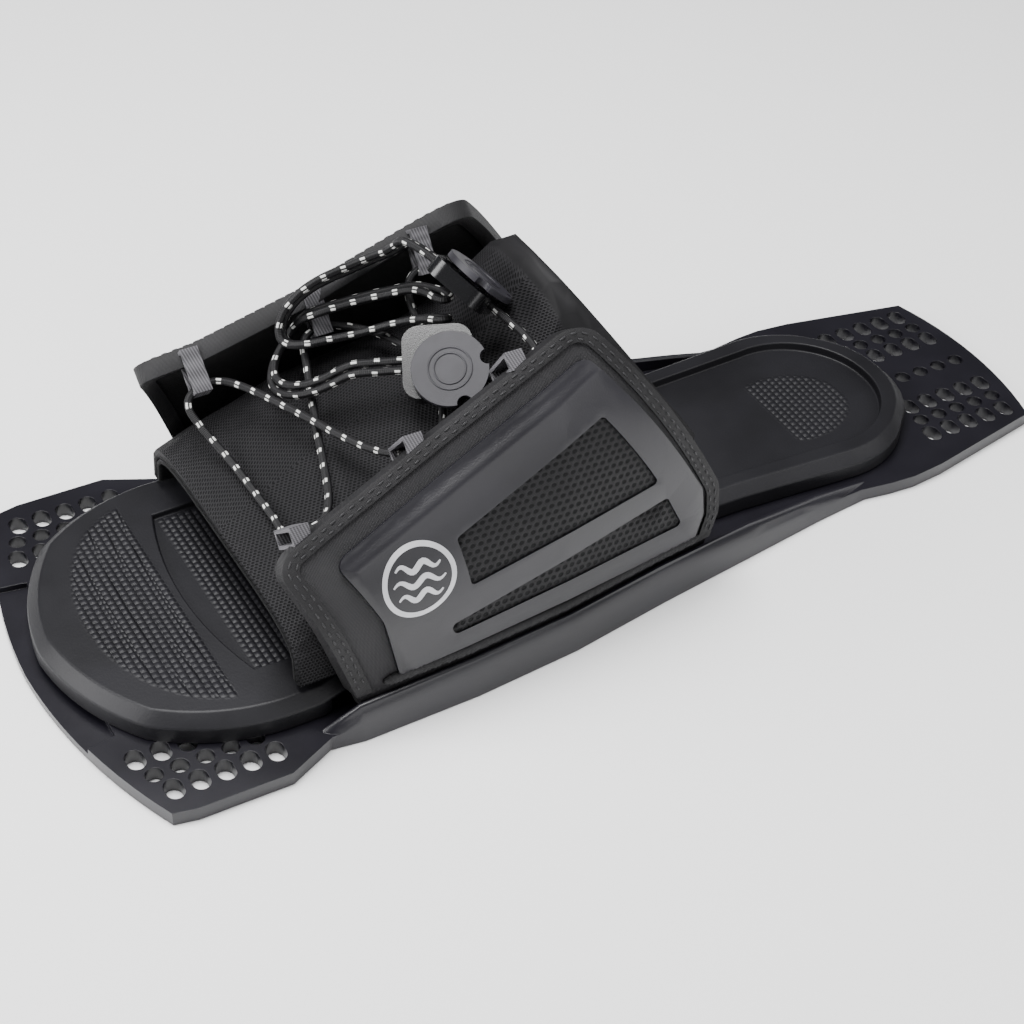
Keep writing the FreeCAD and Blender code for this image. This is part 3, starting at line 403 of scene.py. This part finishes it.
FINISHES = {
    "plate_nylon": moulded_nylon("plate_nylon", (0.0058, 0.0052, 0.0085), 0.30, coat=0.08),
    "eva_foam": pressed_foam(),
    "clamp_steel": brushed_steel("clamp_steel", (0.06, 0.058, 0.062), 0.35),
    "screw_steel": brushed_steel("screw_steel", (0.42, 0.41, 0.43), 0.28),
    "flange_webbing": ribbed_webbing("flange_webbing", (0.012, 0.0115, 0.013),
                                     (0.003, 0.003, 0.0035), 1.3, 0.0002),
    "panel_leather": textile_leather(),
    "foam_lining": soft_lining(),
    "panel_moulding": satin_moulding(),
    "window_mesh": window_mesh(),
    "edge_binding": folded_binding(),
    "gusset_mesh": gusset_mesh(),
    "eye_webbing": ribbed_webbing("eye_webbing", (0.150, 0.146, 0.158), (0.035, 0.034, 0.037),
                                  0.9, 0.00018),
    "lace_cord": braided_cord(),
    "lock_housing": moulded_nylon("lock_housing", (0.0035, 0.0035, 0.004), 0.20, coat=0.4),
    "lock_button": soft_touch(),
    "lock_plunger": moulded_nylon("lock_plunger", (0.005, 0.005, 0.006), 0.35),
    "spring_steel": brushed_steel("spring_steel", (0.55, 0.55, 0.57), 0.22),
}


# ---------------------------------------------------------------- cords
LOCKS = {
    "lower": ((-41.2, -8.3, 75.2), (-0.85, 0.5, -0.14), (-0.38, -0.47, 0.797)),
    "upper": ((-30.9, 1.1, 90.4), (-0.43, 0.8, 0.42), (0.69, 0.0, 0.71)),
}
BUTTON_SHIFT = {"lower": (-1.5, 3.5), "upper": (0.0, 0.0)}
CORD_DIAMETER, STRAND_HALF_GAP, CORD_LEVEL = 2.4, 1.45, 3.2
CORD_SIDES = 12
LACE = [
    (-23.5, 29.5, 84.2), (-29.0, 29.5, 84.0), (-35.0, 28.8, 81.0), (-36.5, 25.0, 75.5),
    (-37.5, 12.0, 71.5), (-41.0, -2.0, 67.8), (-46.0, -15.0, 66.4), (-52.0, -26.0, 66.9),
    (-56.0, -31.0, 69.3), (-62.5, -33.0, 70.0), (-69.0, -31.0, 68.5), (-73.0, -22.0, 65.5),
    (-77.0, -9.0, 63.2), (-80.5, 3.0, 62.2), (-85.0, 17.0, 60.5), (-89.0, 30.0, 58.5),
    (-93.5, 36.5, 58.0), (-100.0, 37.6, 57.5), (-106.0, 35.5, 54.0), (-103.0, 29.0, 47.5),
    (-100.0, 17.0, 44.2), (-99.5, 0.0, 43.6), (-99.5, -17.0, 44.2), (-102.5, -29.0, 47.5),
    (-106.0, -35.5, 54.0), (-100.0, -37.6, 57.5), (-93.5, -36.0, 58.0), (-88.5, -28.0, 57.5),
    (-84.0, -15.0, 58.2), (-79.5, -1.0, 58.6), (-75.0, 12.0, 60.3), (-71.0, 24.0, 64.5),
    (-69.0, 31.5, 68.5), (-62.5, 33.0, 70.0), (-56.0, 31.0, 69.5), (-48.5, 25.0, 68.9),
    (-44.5, 14.0, 69.8), (-40.0, 0.0, 70.2), (-34.4, -12.4, 71.7), (-33.0, -22.6, 76.2),
    (-35.0, -28.5, 82.0), (-29.0, -29.5, 84.0), (-22.5, -28.5, 85.8), (-21.5, -20.0, 86.2),
]
LOWER_PULL = [
    (-73.0, 9.0, 67.5), (-78.8, 14.0, 63.7), (-81.5, 21.0, 61.0), (-80.5, 28.5, 59.8),
    (-77.0, 34.0, 61.5), (-72.5, 37.0, 64.5), (-69.5, 37.0, 68.5), (-68.0, 34.5, 73.4),
    (-63.5, 31.3, 76.7), (-56.3, 31.3, 76.9), (-47.6, 29.0, 78.5), (-42.0, 26.4, 80.0),
    (-36.5, 22.5, 82.5), (-33.5, 17.5, 83.5), (-32.2, 13.0, 84.0),
]
UPPER_PULL = [
    (-39.5, 29.0, 92.5), (-44.8, 33.2, 88.8), (-51.2, 34.4, 86.5), (-59.5, 34.5, 85.2),
    (-66.0, 34.5, 83.0), (-71.5, 34.5, 79.0), (-75.0, 33.7, 73.5), (-75.3, 31.0, 69.0),
    (-71.5, 26.5, 69.8), (-62.5, 24.5, 70.5), (-54.0, 21.5, 72.0), (-44.5, 17.0, 75.6),
    (-38.5, 11.0, 79.0), (-36.0, 7.0, 80.5),
]


def lock_axes(name):
    """Origin of a lock, its way along the cord, its way across, and its normal."""
    origin, along, normal = (Vector(v) for v in LOCKS[name])
    normal.normalize()
    along = (along - normal * along.dot(normal)).normalized()
    return origin, along, normal.cross(along), normal


def lock_point(name, along, across, up):
    origin, a, b, c = lock_axes(name)
    return origin + along * a + across * b + up * c


def doubled_route(middle, side):
    """Out and back along a middle line, with a loop at its far end."""
    there, back = [], []
    for i, point in enumerate(middle):
        before, after = middle[max(i - 1, 0)], middle[min(i + 1, len(middle) - 1)]
        direction = (after - before).normalized()
        side = (side - direction * side.dot(direction)).normalized()
        spread = STRAND_HALF_GAP * (1.5 if i == len(middle) - 1 else 1.0)
        there.append(point + side * spread)
        back.append(point - side * spread)
    tip = middle[-1] + direction * (2.2 * STRAND_HALF_GAP)
    loop = [tip + side * STRAND_HALF_GAP, tip - side * STRAND_HALF_GAP]
    return [*there, *loop, *reversed(back)]


def cord_curve(name, route):
    curve = bpy.data.curves.new(name, "CURVE")
    curve.dimensions = "3D"
    spline = curve.splines.new("NURBS")
    spline.points.add(len(route) - 1)
    for point, place in zip(spline.points, route):
        point.co = (*(place * MM), 1.0)
    spline.order_u = 3
    spline.use_endpoint_u = True
    spline.resolution_u = 10
    curve.bevel_depth = CORD_DIAMETER / 2 * MM
    curve.bevel_resolution = 4
    curve.use_fill_caps = True
    cord = bpy.data.objects.new(name, curve)
    bpy.context.scene.collection.objects.link(cord)
    return cord


def centre_line(cord):
    """The points that a cord's own line runs through, with no thickness."""
    bevel, cord.data.bevel_depth = cord.data.bevel_depth, 0.0
    bpy.context.view_layer.update()
    line = bpy.data.meshes.new_from_object(cord.evaluated_get(
        bpy.context.evaluated_depsgraph_get()))
    cord.data.bevel_depth = bevel
    points = [v.co.copy() for v in line.vertices]
    bpy.data.meshes.remove(line)
    return points


def cord_tube(name, route):
    """A cord as a tube whose UV map counts millimetres along it and one turn around it."""
    guide = cord_curve(name + "_line", route)
    points = centre_line(guide)
    bpy.data.objects.remove(guide)
    sides = CORD_SIDES
    radius = CORD_DIAMETER / 2 * MM
    verts, faces, reach = [], [], [0.0]
    side = (points[1] - points[0]).orthogonal().normalized()
    for i, point in enumerate(points):
        before, after = points[max(i - 1, 0)], points[min(i + 1, len(points) - 1)]
        direction = (after - before).normalized()
        side = (side - direction * side.dot(direction)).normalized()
        other = direction.cross(side)
        for k in range(sides):
            angle = 2 * math.pi * k / sides
            verts.append(point + (side * math.cos(angle) + other * math.sin(angle)) * radius)
        if i:
            reach.append(reach[-1] + (point - points[i - 1]).length)
    for i in range(len(points) - 1):
        for k in range(sides):
            a, b = i * sides + k, i * sides + (k + 1) % sides
            faces.append((a, b, b + sides, a + sides))
    faces.append(tuple(reversed(range(sides))))
    faces.append(tuple(range(len(verts) - sides, len(verts))))
    mesh = bpy.data.meshes.new(name)
    mesh.from_pydata(verts, [], faces)
    uv = mesh.uv_layers.new(name="UVMap")
    for polygon in mesh.polygons:
        polygon.use_smooth = len(polygon.vertices) == 4
        for j, loop in enumerate(polygon.loop_indices):
            vertex = mesh.loops[loop].vertex_index
            ring, k = divmod(vertex, sides)
            turn = k / sides
            if len(polygon.vertices) == 4 and polygon.index % sides == sides - 1 and k == 0:
                turn = 1.0
            uv.data[loop].uv = (reach[ring] / MM, turn)
    tube = bpy.data.objects.new(name, mesh)
    bpy.context.scene.collection.objects.link(tube)
    return tube, points, reach[-1]


def finish_piece(piece, slot, body):
    piece.data.materials.clear()
    piece.data.materials.append(FINISHES[slot])
    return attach(piece, body)


lace_route = [Vector(p) for p in LACE] + [lock_point("upper", -17.0, STRAND_HALF_GAP, CORD_LEVEL),
                                          lock_point("upper", -1.5, STRAND_HALF_GAP, CORD_LEVEL)]
lace, _, _ = cord_tube("braided_lace", lace_route)
finish_piece(lace, "lace_cord", "binding")
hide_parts("lace")
for name, path, runs in (("lower", LOWER_PULL, (0.0, 21.5, 28.0)),
                         ("upper", UPPER_PULL, (0.0, 24.0))):
    straight = [lock_point(name, run, 0.0, CORD_LEVEL) for run in runs]
    route = doubled_route(straight + [Vector(p) for p in path], lock_axes(name)[2])
    pull, pull_points, pull_length = cord_tube(f"{name}_pull_loop", route)
    finish_piece(pull, "lace_cord", "binding")
    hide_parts(f"{name}_pull_cord")
    route[0] * MM


# ---------------------------------------------------------------- carried-over parts
def clean_copy(node, name, smooth=35.0, bevel=0.0, flat=True):
    """A merged and smoothed copy of a CAD node, its sharp edges eased."""
    bpy.ops.object.select_all(action="DESELECT")
    source = frame["nodes"][node]
    piece = bpy.data.objects.new(name, source.data.copy())
    bpy.context.scene.collection.objects.link(piece)
    bpy.context.view_layer.objects.active = piece
    piece.select_set(True)
    bpy.ops.object.mode_set(mode="EDIT")
    bpy.ops.mesh.select_all(action="SELECT")
    bpy.ops.mesh.remove_doubles(threshold=0.00002)
    if flat:
        bpy.ops.mesh.dissolve_limited(angle_limit=math.radians(0.5))
    bpy.ops.object.mode_set(mode="OBJECT")
    if bevel:
        ease = piece.modifiers.new("ease", "BEVEL")
        ease.width, ease.segments, ease.limit_method = bevel * MM, 2, "ANGLE"
        ease.angle_limit = math.radians(38)
        ease.use_clamp_overlap = True
        bpy.ops.object.modifier_apply(modifier="ease")
    bpy.ops.object.shade_smooth_by_angle(angle=math.radians(smooth))
    if flat:
        weighted = piece.modifiers.new("flats", "WEIGHTED_NORMAL")
        weighted.keep_sharp = True
        bpy.ops.object.modifier_apply(modifier="flats")
    finish_piece(piece, SLOT_OF[node], BODY_OF[node])
    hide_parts(node)
    return piece


SMOOTH_COPIES = {
    "base_plate": ("moulded_base_plate", 35.0, 0.5, True),
    "footbed": ("pressed_footbed", 50.0, 0.8, True),
    "gusset_mesh": ("gusset_outer", 60.0, 0.0, False),
    "gusset_lining": ("gusset_inner", 60.0, 0.0, False),
}
for side in ("near", "far"):
    SMOOTH_COPIES[f"{side}_flange"] = (f"{side}_sewn_flange", 35.0, 0.3, True)
    SMOOTH_COPIES[f"{side}_clamp_strip"] = (f"{side}_clamp_bar", 35.0, 0.3, True)
    SMOOTH_COPIES[f"{side}_clamp_screws"] = (f"{side}_screw_heads", 35.0, 0.15, True)
    for part, made, bevel in (
            ("panel_leather", "leather", 0.0), ("panel_lining", "lining", 0.0),
            ("moulding", "moulding", 0.45), ("large_mesh_window", "large_window", 0.0),
            ("small_mesh_window", "small_window", 0.0), ("edge_binding", "edge_roll", 0.35)):
        SMOOTH_COPIES[f"{side}_{part}"] = (f"{side}_{made}", 40.0, bevel, False)
    for place in ("toe", "middle", "ankle"):
        SMOOTH_COPIES[f"{side}_{place}_eye"] = (f"{side}_{place}_loop", 50.0, 0.25, True)
for level in ("lower", "upper"):
    SMOOTH_COPIES[f"{level}_lock_housing"] = (f"{level}_housing", 35.0, 0.5, True)
    SMOOTH_COPIES[f"{level}_lock_button"] = (f"{level}_button", 35.0, 0.4, True)
    SMOOTH_COPIES[f"{level}_lock_plunger"] = (f"{level}_plunger", 35.0, 0.0, True)
    SMOOTH_COPIES[f"{level}_lock_spring"] = (f"{level}_spring", 50.0, 0.0, False)
copies = {node: clean_copy(node, *how) for node, how in SMOOTH_COPIES.items()}
# Each disc spring's heights along its lock's normal are taken, and the spring gets a mesh of its
# own.
BUTTON_TRAVEL = 1.1
for level in ("lower", "upper"):
    spring = copies[f"{level}_lock_spring"]
    origin, _, _, normal = lock_axes(level)
    heights = [(v.co / MM - origin).dot(normal) for v in spring.data.vertices]
    foot = origin + normal * min(heights)
    tuple(foot * MM)
    1.0 - BUTTON_TRAVEL / (max(heights) - min(heights))
    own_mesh(spring)


# ---------------------------------------------------------------- panel surface
PANEL_STATIONS = [
    (-120.0, 61.8, 31.0, 42.0), (-97.0, 61.4, 32.0, 44.7), (-62.0, 60.3, 36.0, 56.9),
    (-27.0, 57.0, 44.0, 73.3), (8.0, 51.0, 45.0, 110.0), (36.0, 47.0, 45.0, 110.0),
]
PANEL_OUTLINE = [
    (-94.0, 5.0, 0), (-115.5, 60.2, 8.0), (-14.5, 99.4, 9.0),
    (30.5, 33.3, 14.0), (31.5, 22.0, 8.0), (26.5, 5.0, 0),
]
CUT_SLOPE = math.tan(math.radians(36))
SIDES = {"near": -1, "far": 1}


def outer_face(x, z):
    """Half width of the panels' leather at X and Z, in millimetres."""
    i = 0
    while i < len(PANEL_STATIONS) - 2 and x > PANEL_STATIONS[i + 1][0]:
        i += 1
    low, high = PANEL_STATIONS[i], PANEL_STATIONS[i + 1]
    part = (x - low[0]) / (high[0] - low[0])
    _, width, top, radius = [a + part * (b - a) for a, b in zip(low, high)]
    if z <= top:
        return width
    return width - radius + math.sqrt(max(radius ** 2 - (z - top) ** 2, 0.0))


def on_panel(x, z, side, lift):
    """A place on a panel, lifted off its leather, and the way the leather faces there."""
    across = outer_face(x + 0.5, z) - outer_face(x - 0.5, z)
    up = outer_face(x, z + 0.5) - outer_face(x, z - 0.5)
    normal = Vector((-across, 1.0, -up)).normalized()
    place = Vector((x, outer_face(x, z), z)) + normal * lift
    return Vector((place.x, side * place.y, place.z)), Vector((normal.x, side * normal.y, normal.z))


def height_at(x, level):
    """Z of the leather where a cut at this level meets it."""
    low, high = 0.0, 104.0
    for _ in range(30):
        middle = (low + high) / 2
        if middle - outer_face(x, middle) * CUT_SLOPE < level:
            low = middle
        else:
            high = middle
    return low


def inset_outline(corners, inset):
    """An outline drawn in, its corners rounded, as closely spaced points."""
    flat = [(Vector((x, z - outer_face(x, z) * CUT_SLOPE)), r) for x, z, r in corners]
    count, moved = len(flat), []
    for i in range(count):
        before, here, after = flat[i - 1][0], flat[i][0], flat[(i + 1) % count][0]
        a, b = (here - before).normalized(), (after - here).normalized()
        inward_a, inward_b = Vector((a.y, -a.x)), Vector((b.y, -b.x))
        middle = (inward_a + inward_b).normalized()
        moved.append((here + middle * (inset / max(middle.dot(inward_a), 0.3)),
                      max(flat[i][1] - inset, 0.5)))
    points = []
    for i in range(count):
        before, here, after = moved[i - 1][0], moved[i][0], moved[(i + 1) % count][0]
        a, b = (before - here).normalized(), (after - here).normalized()
        half = a.angle(b) / 2
        reach = min(moved[i][1] / math.tan(half), 0.45 * (before - here).length,
                    0.45 * (after - here).length)
        start, end = here + a * reach, here + b * reach
        for k in range(9):
            s = k / 8
            points.append(start * (1 - s) ** 2 + here * (2 * s * (1 - s)) + end * s ** 2)
    return points


def along_outline(points, side, lift, spacing):
    """Places at an even spacing along a closed outline laid on a panel, above its foot."""
    dense = []
    for a, b in zip(points, points[1:] + points[:1]):
        steps = max(int((b - a).length / 0.5), 1)
        dense += [a + (b - a) * (k / steps) for k in range(steps)]
    laid = [on_panel(p.x, height_at(p.x, p.y), side, lift) for p in dense]
    made, reach = [laid[0]], 0.0
    for before, here in zip(laid, laid[1:]):
        reach += (here[0] - before[0]).length
        if reach >= spacing:
            made.append(here)
            reach = 0.0
    return made


def join_shapes(name, shapes):
    """One mesh object from lists of vertices, in millimetres, and faces."""
    verts, faces = [], []
    for shape_verts, shape_faces in shapes:
        base = len(verts)
        verts += [v * MM for v in shape_verts]
        faces += [tuple(base + i for i in face) for face in shape_faces]
    mesh = bpy.data.meshes.new(name)
    mesh.from_pydata(verts, [], faces)
    for polygon in mesh.polygons:
        polygon.use_smooth = True
    piece = bpy.data.objects.new(name, mesh)
    bpy.context.scene.collection.objects.link(piece)
    return piece


def face_outwards(piece):
    """Turns every face of a closed piece outwards."""
    bpy.ops.object.select_all(action="DESELECT")
    bpy.context.view_layer.objects.active = piece
    piece.select_set(True)
    bpy.ops.object.mode_set(mode="EDIT")
    bpy.ops.mesh.select_all(action="SELECT")
    bpy.ops.mesh.normals_make_consistent(inside=False)
    bpy.ops.object.mode_set(mode="OBJECT")


def bead(start, end, normal, width, height):
    """A rounded stitch between two places: a six-sided spindle."""
    direction = (end - start).normalized()
    side = direction.cross(normal).normalized()
    verts = [start - normal * height * 0.4]
    for part, size in ((0.16, 0.8), (0.5, 1.0), (0.84, 0.8)):
        centre = start + (end - start) * part
        for k in range(6):
            angle = math.pi / 3 * k
            verts.append(centre + side * (math.cos(angle) * width * size / 2)
                         + normal * (math.sin(angle) * height * size / 2))
    verts.append(end - normal * height * 0.4)
    faces = [(0, 1 + (k + 1) % 6, 1 + k) for k in range(6)]
    for ring in range(2):
        for k in range(6):
            a, b = 1 + ring * 6 + k, 1 + ring * 6 + (k + 1) % 6
            faces.append((a, b, b + 6, a + 6))
    faces += [(19, 13 + k, 13 + (k + 1) % 6) for k in range(6)]
    return verts, faces


def stitch_row(name, side, inset, lift, pitch):
    places = along_outline(inset_outline(PANEL_OUTLINE, inset), side, lift, pitch)
    shapes = []
    for (a, n), (b, _) in zip(places, places[1:]):
        if min(a.z, b.z) > 15.0 and (b - a).length < pitch * 1.8:
            gap = (b - a) * 0.16
            shapes.append(bead(a + gap, b - gap, n, STITCH_SIZE, STITCH_SIZE))
    return join_shapes(name, shapes)


def sewing_thread():
    f = Finish("sewing_thread")
    x, y, z = f.axes()
    twist = ((x + z) * 9.0).sine() * 0.5 + 0.5
    return f.surface(f.blend(twist, (0.008, 0.008, 0.009), (0.030, 0.029, 0.032)), 0.5,
                     f.bump(twist, 0.0001))


def silver_print():
    f = Finish("silver_print")
    fine, broad = f.noise(1200.0, 2.0), f.noise(80.0, 2.0)
    return f.surface(f.blend(broad.between(0.3, 0.7), (0.50, 0.50, 0.52), (0.64, 0.64, 0.66)),
                     0.34 + fine * 0.1, f.bump(fine, 0.00002), metallic=0.35)


THREAD, SILVER = sewing_thread(), silver_print()
BINDING_LIFT, STITCH_PITCH, STITCH_SIZE = 0.86, 3.3, 0.62
for side_name, side in SIDES.items():
    for row, inset in (("outer", 1.0), ("inner", 3.0)):
        stitches = stitch_row(f"{side_name}_{row}_stitches", side, inset, BINDING_LIFT,
                              STITCH_PITCH)
        stitches.data.materials.append(THREAD)
        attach(stitches, "binding")

# A plain ring with three wave lines, in silver print on each moulding.
BADGE_X, BADGE_Z, BADGE_RADIUS, BADGE_LIFT = -77.0, 47.5, 10.6, 1.42


def ribbon(name, line, side, width, thickness, closed):
    """A thin printed band that follows a line of X and Z on a panel."""
    count, verts, faces = len(line), [], []
    for i, (x, z) in enumerate(line):
        x0, z0 = line[(i - 1) % count] if closed or i else line[0]
        x1, z1 = line[(i + 1) % count] if closed or i < count - 1 else line[-1]
        run = Vector((x1 - x0, z1 - z0)).normalized()
        spread = Vector((-run.y, run.x)) * (width[i] / 2)
        for edge in (-1, 1):
            for lift in (BADGE_LIFT - thickness, BADGE_LIFT + thickness):
                verts.append(on_panel(x + spread.x * edge, z + spread.y * edge, side, lift)[0])
    for i in range(count if closed else count - 1):
        a, b = 4 * i, 4 * ((i + 1) % count)
        for p, q in ((0, 1), (1, 3), (3, 2), (2, 0)):
            faces.append((a + p, a + q, b + q, b + p))
    if not closed:
        last = 4 * (count - 1)
        faces += [(0, 2, 3, 1), (last, last + 1, last + 3, last + 2)]
    if side < 0:
        faces = [tuple(reversed(face)) for face in faces]
    return verts, faces


for side_name, side in SIDES.items():
    ring = [(BADGE_X + BADGE_RADIUS * math.cos(a), BADGE_Z + BADGE_RADIUS * 0.95 * math.sin(a))
            for a in (2 * math.pi * k / 72 for k in range(72))]
    shapes = [ribbon("ring", ring, side, [1.5] * 72, 0.09, True)]
    for rise in (-4.2, 0.0, 4.2):
        half = math.sqrt((BADGE_RADIUS - 2.6) ** 2 - rise ** 2)
        wave = [(BADGE_X + half * (2 * k / 24 - 1),
                 BADGE_Z + rise + 1.1 * math.sin(2 * math.pi * k / 12)) for k in range(25)]
        taper = [0.5 + 1.3 * math.sin(math.pi * k / 24) for k in range(25)]
        shapes.append(ribbon("wave", wave, side, taper, 0.09, False))
    badge = join_shapes(f"{side_name}_wave_badge", shapes)
    face_outwards(badge)
    for polygon in badge.data.polygons:
        polygon.use_smooth = False
    badge.data.materials.append(SILVER)
    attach(badge, "binding")

# A gathered welt rolls along the foot of each panel.
for side_name, side in SIDES.items():
    sides, steps = 12, 240
    verts, faces = [], []
    for i in range(steps + 1):
        x = -89.0 + 114.0 * i / steps
        pleat = 0.16 * math.sin(i * 1.9) + 0.10 * math.sin(i * 0.73 + 1.0)
        taper = min(1.0, 0.35 + i / 6, 0.35 + (steps - i) / 6)
        centre, outward = on_panel(x, 15.6, side, 0.5)
        for k in range(sides):
            a = 2 * math.pi * k / sides
            size = (1.75 + pleat) * taper
            verts.append(centre + outward * (math.cos(a) * size * 0.8)
                         + Vector((0, 0, 1)) * (math.sin(a) * size))
    for i in range(steps):
        for k in range(sides):
            a, b = i * sides + k, i * sides + (k + 1) % sides
            face = (a, b, b + sides, a + sides)
            faces.append(face if side > 0 else tuple(reversed(face)))
    faces.append(tuple(range(sides)) if side < 0 else tuple(reversed(range(sides))))
    tail = range(steps * sides, (steps + 1) * sides)
    faces.append(tuple(reversed(tail)) if side < 0 else tuple(tail))
    welt = join_shapes(f"{side_name}_gathered_welt", [(verts, faces)])
    finish_piece(welt, "edge_binding", "binding")


# ---------------------------------------------------------------- button caps
def turned_cap(name, rings, segments=64):
    """A surface of revolution about a lock's normal, from (radius, height) pairs."""
    origin, along, across, normal = lock_axes(name)
    shift = BUTTON_SHIFT[name]
    centre = origin + along * shift[0] + across * shift[1]
    verts = [centre + along * (r * math.cos(2 * math.pi * k / segments))
             + across * (r * math.sin(2 * math.pi * k / segments)) + normal * h
             for r, h in rings for k in range(segments)]
    faces = []
    for i in range(len(rings)):
        j = (i + 1) % len(rings)
        for k in range(segments):
            a, b = i * segments + k, i * segments + (k + 1) % segments
            c, d = j * segments + (k + 1) % segments, j * segments + k
            faces.append((a, b, c, d))
    return verts, faces


BUTTON_TOP = 8.4
for name in ("lower", "upper"):
    shapes = [turned_cap(name, [(r - 0.35, BUTTON_TOP - 0.15), (r - 0.2, BUTTON_TOP + 0.22),
                                (r + 0.2, BUTTON_TOP + 0.22), (r + 0.35, BUTTON_TOP - 0.15)])
              for r in (4.6, 6.3)]
    rings = join_shapes(f"{name}_button_rings", shapes)
    face_outwards(rings)
    finish_piece(rings, "lock_button", f"{name}_button")


# ---------------------------------------------------------------- floor
bpy.ops.object.select_all(action="DESELECT")
bpy.ops.mesh.primitive_plane_add(size=12, location=(0, 0, CAD_BOX[0].z - 0.0002))
floor = bpy.context.object
floor.name = "studio_floor"
floor.data.transform(floor.matrix_world)
floor.matrix_world = Matrix.Identity(4)
paper = Finish("studio_paper")
floor.data.materials.append(paper.surface((0.97, 0.97, 0.97), 0.9))
world = bpy.context.scene.world or bpy.data.worlds.new("studio")
bpy.context.scene.world = world
world.use_nodes = True
world.node_tree.nodes["Background"].inputs["Color"].default_value = (0.95, 0.96, 1.0, 1.0)
world.node_tree.nodes["Background"].inputs["Strength"].default_value = 0.14
